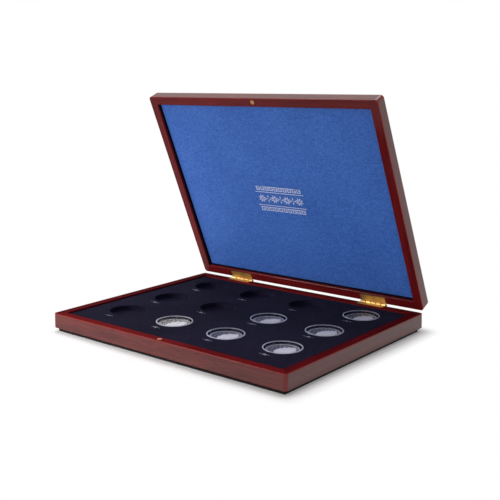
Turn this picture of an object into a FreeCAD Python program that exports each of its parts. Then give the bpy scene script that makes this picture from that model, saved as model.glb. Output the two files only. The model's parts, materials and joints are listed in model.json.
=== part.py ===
import FreeCAD, Part

import math
import os
import re

import Sketcher

# Driving sizes in millimetres and degrees: the word that names the cell, the number, what it is
SIZES = (
    ("case_width", 305.0, "outside of the rails, left to right"),
    ("case_depth", 245.0, "outside of the rails, front to back"),
    ("rail_width", 10.0, "width of every rail at the rim"),
    ("base_height", 15.6, "height of the lower rails"),
    ("lid_height", 13.5, "height of the lid rails"),
    ("corner_radius", 3.5, "upright corners of the case"),
    ("rim_round", 0.5, "outer edge of both rims"),
    ("base_round", 0.6, "lower outer edge of the base"),
    ("lid_round", 1.8, "upper outer edge of the lid"),
    ("rim_bevel", 0.4, "inner edge of both rims"),
    ("board_inset", 3.5, "outer face of the rails to the edge of the boards"),
    ("board_fit", 0.15, "gap beside a board in its rebate"),
    ("board_bevel", 0.4, "eased edges of the boards"),
    ("board_thickness", 5.0, "bottom board"),
    ("board_drop", 2.7, "how far the bottom board stands below the rails"),
    ("felt_thickness", 1.4, "felt under the bottom board"),
    ("felt_inset", 0.4, "edge of the bottom board to the edge of the felt"),
    ("panel_thickness", 4.0, "lid panel, flush with the top of the lid rails"),
    ("lining_recess", 4.0, "rim of the lid to the face of the lining"),
    ("lining_thickness", 2.5, "padded lining"),
    ("lining_fit", 0.4, "gap round the lining"),
    ("lining_round", 0.9, "soft edge of the lining"),
    ("tray_drop", 1.5, "rim of the base to the face of the tray"),
    ("tray_fit", 0.3, "gap round the tray"),
    ("well_depth", 6.0, "depth of a well, which is the thickness of the tray"),
    ("well_clearance", 0.35, "gap round a capsule in its well"),
    ("well_columns", 4, "wells from left to right"),
    ("well_rows", 3, "wells from front to back"),
    ("well_pitch_across", 69.0, "well to well, left to right"),
    ("well_pitch_back", 69.5, "well to well, front to back"),
    ("well_shift", 9.6, "middle of the wells behind the middle of the case"),
    ("capsule_radius", 19.25, "outside of a capsule"),
    ("capsule_height", 6.2, "both shells shut"),
    ("capsule_wall", 0.95, "upright wall of the lower shell"),
    ("capsule_floor", 1.0, "window of each shell"),
    ("capsule_ring", 0.8, "height of the upper shell's ring above its window"),
    ("capsule_slope", 0.6, "run of the slope from the window up to the ring"),
    ("capsule_brim", 0.7, "upper shell's edge that sits over the lower shell's wall"),
    ("capsule_rest", 0.1, "bottom of a capsule above the floor of its well"),
    ("shell_gap", 0.1, "between the two shells"),
    ("coin_radius", 16.25, "outside of a coin"),
    ("coin_thickness", 2.4, "over the rims"),
    ("coin_rim_width", 1.1, "raised rim of a coin"),
    ("coin_rim_height", 0.25, "rim above the field of each face"),
    ("coin_gap", 0.1, "round a coin in its capsule"),
    ("closed_gap", 0.3, "between the two rims when the case is shut"),
    ("axis_setback", 1.8, "hinge pin behind the back of the case"),
    ("open_angle", 66.4, "how far the lid stands open"),
    ("stop_angle", 100.0, "how far the lid opens before it stops"),
    ("stop_clearance", 0.2, "stop lug to the back of the case at the stop"),
    ("hinge_spacing", 184.0, "middle to middle of the two hinges"),
    ("hinge_length", 31.0, "along the pin"),
    ("leaf_thickness", 1.0, "brass sheet of a leaf"),
    ("leaf_reach", 8.7, "back of the case to the front edge of a leaf"),
    ("mortise_fit", 0.1, "gap round a leaf in its mortise"),
    ("knuckle_count", 5, "knuckles on one pin, the base's and the lid's in turn"),
    ("knuckle_radius", 1.5, "outside of a knuckle"),
    ("knuckle_gap", 0.2, "between two knuckles"),
    ("pin_radius", 0.75, "hinge pin"),
    ("pin_clearance", 0.03, "pin to the bore of a knuckle"),
    ("pin_head_radius", 1.15, "burred end of the pin"),
    ("pin_head_length", 0.5, "burred end of the pin"),
    ("screw_spacing", 19.0, "between the two screws of a leaf"),
    ("screw_setback", 4.7, "back of the case to the screws"),
    ("screw_head_radius", 1.6, "countersunk head"),
    ("screw_shank_radius", 0.8, "shank"),
    ("screw_length", 6.5, "head to tip"),
    ("screw_sink", 0.05, "head below the face of the leaf"),
    ("thread_bite", 0.1, "how much smaller than the shank the pilot hole is"),
    ("magnet_radius", 2.6, "catch magnet"),
    ("magnet_length", 2.0, "catch magnet"),
    ("magnet_setback", 4.8, "front of the case to the middle of the magnet"),
    ("magnet_fit", 0.05, "gap round the magnet and above it"),
    ("magnet_bevel", 0.3, "edge of the magnet's cap"),
    ("overcut", 1.0, "how far a cut starts outside the face that it goes in by"),
)

# Wells that hold a capsule, numbered from the front left corner, row by row
FILLED_WELLS = ("02", "03", "04", "07", "08", "12")

# Heights and places that several pieces share, as formulas of the sizes
FOOT = "(board_drop + felt_thickness)"
RIM = f"({FOOT} + base_height)"
TRAY_FLOOR = f"({RIM} - tray_drop - well_depth)"
AXIS_BACK = "(case_depth / 2 + axis_setback)"
AXIS_UP = f"({RIM} + closed_gap / 2)"
INSIDE_WIDTH = "(case_width - 2 * rail_width)"
INSIDE_DEPTH = "(case_depth - 2 * rail_width)"
KNUCKLE_PITCH = "(hinge_length / knuckle_count)"
BORE_RADIUS = "(pin_radius + pin_clearance)"
WELL_RADIUS = "(capsule_radius + well_clearance)"

doc = FreeCAD.newDocument("coin_case")
sheet = doc.addObject("Spreadsheet::Sheet", "Sizes")
for row, (word, value, meaning) in enumerate(SIZES, start=1):
    sheet.set(f"A{row}", meaning)
    sheet.set(f"B{row}", str(value))
    sheet.setAlias(f"B{row}", word)
doc.recompute()

WORDS = {word for word, value, meaning in SIZES}
pieces = []


# Formulas

def formula(text):
    """The same formula with each size word turned into a reference to its cell."""
    return re.sub(r"[a-z_]+", lambda m: f"Sizes.{m[0]}" if m[0] in WORDS else m[0], text)


def number(text):
    """What a formula of size words comes to."""
    return float(sheet.evalExpression(formula(text)))


def bind(thing, **sizes):
    """Ties properties of an object to formulas of size words."""
    for name, text in sizes.items():
        thing.setExpression(name, formula(text))


def at(x="0", y="0", z="0", turn="0", axis="0;0;1"):
    """A placement formula: a move, after a turn in degrees about an axis."""
    return f"placement(vector({x};{y};{z}); rotation(vector({axis}); {turn}))"


# The base frame stands on the felt, and the lid frame has its origin in the middle of the lid's rim
BASE = at()
LID_AXIS = at(y=AXIS_BACK, z=AXIS_UP, turn="-open_angle", axis="1;0;0")
LID = f"{LID_AXIS} * {at(y='-' + AXIS_BACK, z='closed_gap / 2')}"

# The base's rails and leaves are those of the lid turned over
OVER = at(turn="180", axis="0;1;0")


# Sketches and features

def new_body(label, place):
    """A body that is one sub-part, with its placement tied to the sizes."""
    body = doc.addObject("PartDesign::Body", label)
    body.Label = label
    bind(body, Placement=place)
    pieces.append(body)
    return body


def origin_feature(body, role):
    """One of the body's own origin planes or axes."""
    return next(item for item in body.Origin.OriginFeatures if item.Role == role)


def new_sketch(body, name, plane, height="0", turn="0"):
    """A sketch on an origin plane, raised along the plane's normal and turned about it."""
    sketch = body.newObject("Sketcher::SketchObject", name)
    sketch.AttachmentSupport = [(origin_feature(body, plane), "")]
    sketch.MapMode = "FlatFace"
    bind(sketch, AttachmentOffset=at(z=height, turn=turn))
    return sketch


def fix_point(sketch, edge, end, x, y):
    """Ties one end of an edge, or a centre, to a place given by two formulas."""
    for kind, axis, text in (("DistanceX", -2, x), ("DistanceY", -1, y)):
        size = number(text)
        if abs(size) < 1e-9:
            sketch.addConstraint(Sketcher.Constraint("PointOnObject", edge, end, axis))
            continue
        index = sketch.addConstraint(Sketcher.Constraint(kind, -1, 1, edge, end, size))
        sketch.setExpression(f"Constraints[{index}]", formula(text))


def add_outline(sketch, steps):
    """Draws a closed loop. A step (x, y) is a straight edge to that point.
    A step (x, y, centre x, centre y, radius) is an arc to it, counter-clockwise."""
    spots = [FreeCAD.Vector(number(step[0]), number(step[1]), 0) for step in steps]
    edges = []
    for step, start, end in zip(steps, spots[-1:] + spots[:-1], spots):
        if len(step) == 2:
            edges.append(sketch.addGeometry(Part.LineSegment(start, end)))
            continue
        centre = FreeCAD.Vector(number(step[2]), number(step[3]), 0)
        first, last = (math.atan2(p.y - centre.y, p.x - centre.x) for p in (start, end))
        circle = Part.Circle(centre, FreeCAD.Vector(0, 0, 1), number(step[4]))
        edges.append(sketch.addGeometry(Part.ArcOfCircle(circle, first, last)))
        index = sketch.addConstraint(Sketcher.Constraint("Radius", edges[-1], number(step[4])))
        sketch.setExpression(f"Constraints[{index}]", formula(step[4]))
    for step, edge, following in zip(steps, edges, edges[1:] + edges[:1]):
        sketch.addConstraint(Sketcher.Constraint("Coincident", edge, 2, following, 1))
        fix_point(sketch, edge, 2, step[0], step[1])


def add_rectangle(sketch, left, low, right, high):
    """Draws a rectangle from its four sides' formulas."""
    add_outline(sketch, [(left, low), (right, low), (right, high), (left, high)])


def add_circle(sketch, x, y, radius):
    """Draws a circle."""
    centre = FreeCAD.Vector(number(x), number(y), 0)
    edge = sketch.addGeometry(Part.Circle(centre, FreeCAD.Vector(0, 0, 1), number(radius)))
    fix_point(sketch, edge, 3, x, y)
    index = sketch.addConstraint(Sketcher.Constraint("Radius", edge, number(radius)))
    sketch.setExpression(f"Constraints[{index}]", formula(radius))


def pad(body, name, sketch, length):
    """Raises a sketch along its normal."""
    feature = body.newObject("PartDesign::Pad", name)
    feature.Profile = sketch
    bind(feature, Length=length)
    return feature


def pocket(body, name, sketch, length, along_normal=False):
    """Cuts a sketch into the body, against the sketch's normal unless told otherwise."""
    doc.recompute()
    before = body.Shape.Volume
    feature = body.newObject("PartDesign::Pocket", name)
    feature.Profile = sketch
    feature.Reversed = along_normal
    bind(feature, Length=length)
    doc.recompute()
    if not feature.Shape.Volume < before:
        raise RuntimeError(f"{body.Label}: {name} cut nothing")
    return feature


def revolve(body, name, sketch, axis):
    """Turns a sketch a full circle about its own horizontal or vertical axis."""
    feature = body.newObject("PartDesign::Revolution", name)
    feature.Profile = sketch
    feature.ReferenceAxis = (sketch, [axis])
    feature.Angle = 360
    return feature


def soften(body, kind, name, size_property, size, wanted):
    """Rounds or bevels the edges for which wanted(edge) is true."""
    doc.recompute()
    base = body.Tip
    found = [f"Edge{i}" for i, edge in enumerate(base.Shape.Edges, start=1) if wanted(edge)]
    feature = body.newObject(kind, name)
    feature.Base = (base, found)
    bind(feature, **{size_property: size})
    return feature


def fillet(body, name, radius, wanted):
    """Rounds the wanted edges."""
    return soften(body, "PartDesign::Fillet", name, "Radius", radius, wanted)


def chamfer(body, name, size, wanted):
    """Bevels the wanted edges."""
    return soften(body, "PartDesign::Chamfer", name, "Size", size, wanted)


def repeat(body, name, originals, steps):
    """Copies features along the body's axes. Each step is an axis, a length over all and a count."""
    group = body.newObject("PartDesign::MultiTransform", name)
    group.Originals = originals
    patterns = []
    for axis, length, count in steps:
        pattern = body.newObject("PartDesign::LinearPattern", f"{name}_along_{axis.lower()}")
        pattern.Direction = (origin_feature(body, f"{axis}_Axis"), [""])
        bind(pattern, Length=length, Occurrences=count)
        patterns.append(pattern)
    group.Transformations = patterns
    body.Tip = group
    return group


# Edges, told by where they lie

def lies_at(edge, **limits):
    """True if every end and the middle of the edge keeps to the value given for x, y or z."""
    spots = [vertex.Point for vertex in edge.Vertexes]
    spots.append(edge.valueAt((edge.FirstParameter + edge.LastParameter) / 2))
    return all(abs(getattr(p, name) - value) < 1e-6 for p in spots for name, value in limits.items())


def is_outer(edge, height):
    """True for the run of edges along the outside of a rail at one height."""
    inside = number("rail_width") - 1e-6
    corner_end = number("corner_radius * (1 - sqrt(2) / 2)") + 1e-6
    reach = max(vertex.Point.y for vertex in edge.Vertexes)
    return lies_at(edge, z=height) and reach < min(inside, corner_end)


# Mitred rails: the rim lies at z = 0, the outer face at y = 0, and the rail grows away from the rim

def rail(label, place, run, height, far_round, rebate, fittings=None):
    """One rail of a frame, with its mitred ends, rebate, rounded edges and fittings."""
    body = new_body(label, place)
    half = f"{run} / 2"
    tip = "corner_radius * (1 - sqrt(2) / 2)"
    plan = new_sketch(body, "Plan", "XY_Plane")
    add_outline(plan, [
        (f"{half} - corner_radius", "0"),
        (f"{half} - {tip}", tip, f"{half} - corner_radius", "corner_radius", "corner_radius"),
        (f"{half} - rail_width", "rail_width"),
        (f"rail_width - {half}", "rail_width"),
        (f"{tip} - {half}", tip),
        (f"corner_radius - {half}", "0", f"corner_radius - {half}", "corner_radius", "corner_radius"),
    ])
    pad(body, "Bar", plan, height)
    lap = new_sketch(body, "Rebate", "YZ_Plane", height=half)
    add_rectangle(lap, "board_inset", f"{height} - {rebate}", "rail_width + overcut", f"{height} + overcut")
    pocket(body, "RebateCut", lap, run)
    fillet(body, "RimRound", "rim_round", lambda edge: is_outer(edge, 0))
    fillet(body, "FarRound", far_round, lambda edge: is_outer(edge, number(height)))
    chamfer(body, "RimBevel", "rim_bevel", lambda edge: lies_at(edge, y=number("rail_width"), z=0))
    if fittings:
        fittings(body)
    return body


def cut_mortises(body):
    """Two mortises for the hinge leaves, open at the back, with pilot holes for their screws."""
    seats = new_sketch(body, "Mortises", "XY_Plane")
    holes = new_sketch(body, "Pilots", "XY_Plane")
    for side in ("-", ""):
        middle = f"({side}hinge_spacing / 2)"
        left = f"{middle} - hinge_length / 2 - mortise_fit"
        right = f"{middle} + hinge_length / 2 + mortise_fit"
        add_rectangle(seats, left, "-overcut", right, "leaf_reach + mortise_fit")
        for way in ("-", "+"):
            spot = f"{middle} {way} screw_spacing / 2"
            add_circle(holes, spot, "screw_setback", "screw_shank_radius - thread_bite")
    pocket(body, "MortiseCut", seats, "leaf_thickness", along_normal=True)
    pocket(body, "PilotCut", holes, "screw_length + thread_bite", along_normal=True)


def bore_for_magnet(body):
    """A blind hole for the catch magnet, in the middle of the rim."""
    hole = new_sketch(body, "MagnetHole", "XY_Plane")
    add_circle(hole, "0", "magnet_setback", "magnet_radius + magnet_fit")
    pocket(body, "MagnetBore", hole, "magnet_length + magnet_fit", along_normal=True)


def frame(prefix, base_place, over, height, far_round, rebate):
    """Four rails round the case. Each is its outer face's middle, its turn, its run and its fittings."""
    rails = {
        "front": ("0", "-case_depth / 2", "0", "case_width", bore_for_magnet),
        "right": ("case_width / 2", "0", "90", "case_depth", None),
        "back": ("0", "case_depth / 2", "180", "case_width", cut_mortises),
        "left": ("-case_width / 2", "0", "270", "case_depth", None),
    }
    for side, (x, y, turn, run, fittings) in rails.items():
        place = f"{base_place} * {at(x, y, turn=turn)} * {over}"
        rail(f"{prefix}_{side}_rail", place, run, height, far_round, rebate, fittings)


# Boards, felt, tray and lining

def board(label, place, width, depth, thickness, bevelled_height):
    """A flat board with the edges of one face eased."""
    body = new_body(label, place)
    plan = new_sketch(body, "Plan", "XY_Plane")
    add_rectangle(plan, f"-{width} / 2", f"-{depth} / 2", f"{width} / 2", f"{depth} / 2")
    pad(body, "Sheet", plan, thickness)
    level = number(bevelled_height)
    chamfer(body, "Eased", "board_bevel", lambda edge: lies_at(edge, z=level))
    return body


def slab(label, frame_place, width, depth, thickness, bottom):
    """A plain sheet of card, felt or foam, centred on the frame."""
    box = doc.addObject("Part::Box", label)
    box.Label = label
    bind(box, Length=width, Width=depth, Height=thickness)
    bind(box, Placement=f"{frame_place} * {at(f'-{width} / 2', f'-{depth} / 2', bottom)}")
    pieces.append(box)
    return box


def coin_tray():
    """The tray: one sheet with a round well through it for each coin, over the underlay."""
    body = new_body("coin_tray", at(z=TRAY_FLOOR))
    width = f"({INSIDE_WIDTH} - 2 * tray_fit)"
    depth = f"({INSIDE_DEPTH} - 2 * tray_fit)"
    plan = new_sketch(body, "Plan", "XY_Plane")
    add_rectangle(plan, f"-{width} / 2", f"-{depth} / 2", f"{width} / 2", f"{depth} / 2")
    pad(body, "Sheet", plan, "well_depth")
    first = new_sketch(body, "FirstWell", "XY_Plane", height="well_depth")
    add_circle(first, *well_centre("0", "0"), WELL_RADIUS)
    well = pocket(body, "Well", first, "well_depth")
    repeat(body, "Wells", [well], [
        ("X", "(well_columns - 1) * well_pitch_across", "well_columns"),
        ("Y", "(well_rows - 1) * well_pitch_back", "well_rows"),
    ])


def lining():
    """The padded lining of the lid: a soft sheet whose face has rounded edges."""
    width = f"({INSIDE_WIDTH} - 2 * lining_fit)"
    depth = f"({INSIDE_DEPTH} - 2 * lining_fit)"
    body = new_body("lid_lining", f"{LID} * {at(z='lining_recess')}")
    plan = new_sketch(body, "Plan", "XY_Plane")
    add_rectangle(plan, f"-{width} / 2", f"-{depth} / 2", f"{width} / 2", f"{depth} / 2")
    pad(body, "Pad", plan, "lining_thickness")
    fillet(body, "SoftEdge", "lining_round", lambda edge: lies_at(edge, z=0))
    backing = "lid_height - panel_thickness - lining_recess - lining_thickness"
    slab("lid_lining_card", LID, width, depth, backing, "lining_recess + lining_thickness")


def boards():
    """The bottom board with its felt, the lid panel and the underlay of the tray."""
    width = "(case_width - 2 * board_inset - 2 * board_fit)"
    depth = "(case_depth - 2 * board_inset - 2 * board_fit)"
    board("base_bottom_board", at(z="felt_thickness"), width, depth, "board_thickness", "0")
    panel_place = f"{LID} * {at(z='lid_height - panel_thickness')}"
    board("lid_panel", panel_place, width, depth, "panel_thickness", "panel_thickness")
    felt_width = f"({width} - 2 * felt_inset)"
    felt_depth = f"({depth} - 2 * felt_inset)"
    slab("underside_felt", BASE, felt_width, felt_depth, "felt_thickness", "0")
    board_top = "(felt_thickness + board_thickness)"
    underlay_width = f"({INSIDE_WIDTH} - 2 * tray_fit)"
    underlay_depth = f"({INSIDE_DEPTH} - 2 * tray_fit)"
    slab("tray_underlay", BASE, underlay_width, underlay_depth, f"{TRAY_FLOOR} - {board_top}", board_top)


# Catch magnets, one in each front rail, with their caps level with the rims

def magnet(label, place):
    """A round magnet with a bevelled cap. Its face lies at z = 0 and its body above."""
    body = new_body(label, place)
    half = new_sketch(body, "Half", "XZ_Plane")
    add_outline(half, [
        ("0", "0"),
        ("magnet_radius - magnet_bevel", "0"),
        ("magnet_radius", "magnet_bevel"),
        ("magnet_radius", "magnet_length"),
        ("0", "magnet_length"),
    ])
    revolve(body, "Disc", half, "V_Axis")


def magnets():
    """The pair of magnets."""
    y = "magnet_setback - case_depth / 2"
    magnet("base_catch_magnet", f"{at(y=y, z=RIM)} * {OVER} * {at(z='magnet_fit')}")
    magnet("lid_catch_magnet", f"{LID} * {at(y=y, z='magnet_fit')}")


# Stop hinges: a leaf's origin is on the pin, and its face towards the other leaf lies at closed_gap / 2

def knuckle_outline(sketch):
    """A strap that runs off the leaf into a round barrel about the pin."""
    face = "closed_gap / 2"
    back = "(closed_gap / 2 + leaf_thickness)"
    add_outline(sketch, [
        ("-axis_setback", face),
        (f"-sqrt(knuckle_radius ^ 2 - ({face}) ^ 2)", face),
        (f"-sqrt(knuckle_radius ^ 2 - {back} ^ 2)", back, "0", "0", "knuckle_radius"),
        ("-axis_setback", back),
    ])


def hinge_leaf(label, place, first, count, with_stop):
    """One leaf: the plate, every second knuckle on the pin, and two countersunk screw holes."""
    body = new_body(label, place)
    face = "closed_gap / 2"
    plate = new_sketch(body, "PlatePlan", "XY_Plane", height=face)
    front = "-(axis_setback + leaf_reach)"
    add_rectangle(plate, "-hinge_length / 2", front, "hinge_length / 2", "-axis_setback")
    pad(body, "Plate", plate, "leaf_thickness")
    start = f"{first} * {KNUCKLE_PITCH} - hinge_length / 2 + knuckle_gap / 2"
    side = new_sketch(body, "KnuckleSide", "YZ_Plane", height=start)
    knuckle_outline(side)
    originals = [pad(body, "Knuckle", side, f"{KNUCKLE_PITCH} - knuckle_gap")]
    if with_stop:
        lug = new_sketch(body, "StopSide", "YZ_Plane", height=start, turn="stop_angle")
        reach = "(axis_setback - stop_clearance)"
        add_rectangle(lug, f"-{reach}", f"-{reach}", "0", "0")
        originals.append(pad(body, "StopLug", lug, f"{KNUCKLE_PITCH} - knuckle_gap"))
    steps = [("X", f"2 * {KNUCKLE_PITCH} * ({count} - 1)", count)]
    repeat(body, "Knuckles", originals, steps)
    bore = new_sketch(body, "BoreSide", "YZ_Plane", height="hinge_length / 2 + overcut")
    add_circle(bore, "0", "0", BORE_RADIUS)
    pocket(body, "PinBore", bore, "hinge_length + 2 * overcut")
    holes = new_sketch(body, "ScrewPlan", "XY_Plane", height=face)
    for way in ("-", ""):
        spot = f"{way}screw_spacing / 2"
        add_circle(holes, spot, "-(axis_setback + screw_setback)", "screw_shank_radius")
    pocket(body, "ScrewHoles", holes, "leaf_thickness", along_normal=True)
    level = number(face)
    chamfer(
        body, "Countersinks", "screw_head_radius - screw_shank_radius + screw_sink",
        lambda edge: lies_at(edge, z=level) and edge.Closed,
    )


def hinge_pin(label, place):
    """The pin, burred over at both ends."""
    body = new_body(label, place)
    half = new_sketch(body, "Half", "XY_Plane")
    shoulder = "hinge_length / 2"
    end = "(hinge_length / 2 + pin_head_length)"
    add_outline(half, [
        (f"-{end}", "0"),
        (end, "0"),
        (end, "pin_head_radius"),
        (shoulder, "pin_head_radius"),
        (shoulder, "pin_radius"),
        (f"-{shoulder}", "pin_radius"),
        (f"-{shoulder}", "pin_head_radius"),
        (f"-{end}", "pin_head_radius"),
    ])
    revolve(body, "Pin", half, "H_Axis")


def hinge_screws(label, place):
    """Four countersunk screws, two to a leaf. Their heads face down and their tips point up."""
    body = new_body(label, place)
    half = new_sketch(body, "Half", "XZ_Plane")
    add_outline(half, [
        ("0", "0"),
        ("screw_head_radius", "0"),
        ("screw_shank_radius", "screw_head_radius - screw_shank_radius"),
        ("screw_shank_radius", "screw_length - screw_shank_radius"),
        ("0", "screw_length"),
    ])
    screw = revolve(body, "Screw", half, "V_Axis")
    repeat(body, "Screws", [screw], [("X", "screw_spacing", "2"), ("X", "hinge_spacing", "2")])


def hinges():
    """Two hinges, each with a leaf in either frame and a pin that the base carries."""
    for side, x in (("left", "-hinge_spacing / 2"), ("right", "hinge_spacing / 2")):
        base_axis = at(x, AXIS_BACK, AXIS_UP)
        base_leaf_place = f"{base_axis} * {OVER}"
        hinge_leaf(f"hinge_{side}_base_leaf", base_leaf_place, "0", "(knuckle_count + 1) / 2", False)
        lid_leaf_place = f"{LID_AXIS} * {at(x)}"
        hinge_leaf(f"hinge_{side}_lid_leaf", lid_leaf_place, "1", "(knuckle_count - 1) / 2", True)
        hinge_pin(f"hinge_{side}_pin", base_axis)
    first = "-(hinge_spacing + screw_spacing) / 2"
    y = "(case_depth / 2 - screw_setback)"
    hinge_screws("hinge_base_screws", f"{at(y=y, z=RIM)} * {OVER} * {at(first, z='screw_sink')}")
    hinge_screws("hinge_lid_screws", f"{LID} * {at(first, y, 'screw_sink')}")


# Capsules: two clear shells, the upper one let into the lower, with a coin between their windows

def well_centre(column, row):
    """The middle of a well, counted from the front left corner."""
    x = f"(({column}) - (well_columns - 1) / 2) * well_pitch_across"
    y = f"(({row}) - (well_rows - 1) / 2) * well_pitch_back + well_shift"
    return x, y


def turned(label, place, section):
    """A round piece turned from half of its section, about the upright axis."""
    body = new_body(label, place)
    half = new_sketch(body, "Half", "XZ_Plane")
    add_outline(half, section)
    revolve(body, "Turned", half, "V_Axis")


def capsules():
    """A capsule and its coin in each filled well."""
    bore = "(capsule_radius - capsule_wall)"
    brim_floor = "(capsule_height - capsule_brim)"
    lower = [
        ("0", "0"),
        ("capsule_radius", "0"),
        ("capsule_radius", f"{brim_floor} - shell_gap"),
        (bore, f"{brim_floor} - shell_gap"),
        (bore, "capsule_floor"),
        ("0", "capsule_floor"),
    ]
    window_top = "(capsule_height - capsule_ring)"
    window_low = f"({window_top} - capsule_floor)"
    skirt_outer = f"({bore} - shell_gap)"
    skirt_inner = "(coin_radius + coin_gap)"
    skirt_low = "(capsule_floor + shell_gap)"
    upper = [
        ("0", window_low),
        (skirt_inner, window_low),
        (skirt_inner, skirt_low),
        (skirt_outer, skirt_low),
        (skirt_outer, brim_floor),
        ("capsule_radius", brim_floor),
        ("capsule_radius", "capsule_height"),
        (f"{skirt_inner} + capsule_slope", "capsule_height"),
        (skirt_inner, window_top),
        ("0", window_top),
    ]
    coin_low = "(capsule_floor + coin_gap)"
    coin_top = f"({coin_low} + coin_thickness)"
    field_radius = "(coin_radius - coin_rim_width)"
    coin = [
        ("0", f"{coin_low} + coin_rim_height"),
        (field_radius, f"{coin_low} + coin_rim_height"),
        (field_radius, coin_low),
        ("coin_radius", coin_low),
        ("coin_radius", coin_top),
        (field_radius, coin_top),
        (field_radius, f"{coin_top} - coin_rim_height"),
        ("0", f"{coin_top} - coin_rim_height"),
    ]
    columns = round(number("well_columns"))
    for well in FILLED_WELLS:
        row, column = divmod(int(well) - 1, columns)
        x, y = well_centre(column, row)
        place = at(x, y, f"{TRAY_FLOOR} + capsule_rest")
        turned(f"capsule_{well}_lower", place, lower)
        turned(f"capsule_{well}_upper", place, upper)
        turned(f"coin_{well}", place, coin)


frame("base", at(z=RIM), OVER, "base_height", "base_round", "(board_thickness - board_drop)")
frame("lid", LID, at(), "lid_height", "lid_round", "panel_thickness")
boards()
coin_tray()
lining()
magnets()
hinges()
capsules()
doc.recompute()

# Nothing is written unless every object of the document is sound
for thing in doc.Objects:
    if {"Invalid", "Error"} & set(thing.State):
        raise RuntimeError(f"{thing.Label}: {thing.State}")
for piece in pieces:
    if piece.Shape.isNull() or not piece.Shape.isValid() or not piece.Shape.Solids:
        raise RuntimeError(f"{piece.Label}: no sound solid")

os.makedirs("parts", exist_ok=True)
for piece in pieces:
    piece.Shape.exportStep(f"parts/{piece.Label}.step")
print(f"{len(pieces)} sub-parts written")
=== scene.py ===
"""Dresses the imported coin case: lacquered mahogany, brass hinges, velvet tray, lid lining, capsules and coins."""

import json
import logging
import math
from dataclasses import dataclass, field
from enum import Enum

import bmesh
import bpy
import numpy as np
from mathutils import Matrix, Vector

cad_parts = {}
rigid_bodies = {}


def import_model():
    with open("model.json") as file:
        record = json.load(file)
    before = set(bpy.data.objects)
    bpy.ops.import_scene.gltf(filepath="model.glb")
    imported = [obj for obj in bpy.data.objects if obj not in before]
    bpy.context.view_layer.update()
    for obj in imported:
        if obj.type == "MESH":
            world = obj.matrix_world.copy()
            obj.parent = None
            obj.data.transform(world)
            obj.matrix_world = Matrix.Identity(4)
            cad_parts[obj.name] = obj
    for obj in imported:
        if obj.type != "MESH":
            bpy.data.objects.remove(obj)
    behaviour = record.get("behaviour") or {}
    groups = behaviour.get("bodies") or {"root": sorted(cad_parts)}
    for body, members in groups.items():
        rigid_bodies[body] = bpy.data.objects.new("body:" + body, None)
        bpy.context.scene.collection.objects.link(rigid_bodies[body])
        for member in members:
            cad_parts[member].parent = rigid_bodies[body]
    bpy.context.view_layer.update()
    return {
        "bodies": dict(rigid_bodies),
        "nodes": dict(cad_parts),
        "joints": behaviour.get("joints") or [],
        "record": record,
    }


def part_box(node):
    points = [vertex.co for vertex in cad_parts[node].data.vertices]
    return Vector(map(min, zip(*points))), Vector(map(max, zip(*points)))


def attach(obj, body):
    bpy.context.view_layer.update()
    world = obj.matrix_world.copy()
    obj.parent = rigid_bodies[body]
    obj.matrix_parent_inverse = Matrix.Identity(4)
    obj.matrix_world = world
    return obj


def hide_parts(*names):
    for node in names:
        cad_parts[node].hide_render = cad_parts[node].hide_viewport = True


LOG = logging.getLogger("coin_case")
MM = 0.001
CORNER_RADIUS = 3.5 * MM
KNUCKLES = 5
FAN_PETALS = (8, 6, 10, 5, 12, 7)

Array = np.ndarray
Colour = tuple[float, float, float]
Spot = tuple[float, float, float]
KEY_PITCH = 6.2
KEY_BARS = (
    (0.0, -2.5, KEY_PITCH, -1.7), (0.6, -1.7, 1.4, 2.5), (1.4, 1.7, 5.4, 2.5), (4.6, -0.6, 5.4, 1.7),
    (2.8, -0.6, 4.6, 0.2),
)
KITE_TIP = 0.7
UNIT_SQUARE: Array = np.array([[-0.5, -0.5], [0.5, -0.5], [0.5, 0.5], [-0.5, 0.5]])


class Grain(Enum):
    """Which way the grain of a piece of wood runs."""

    ALONG_FRONT = "along the front"
    ALONG_SIDE = "along the sides"


class Part(Enum):
    """The two halves of the case that a piece can belong to."""

    BASE = "base"
    LID = "lid"


# Geometry helpers


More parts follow.
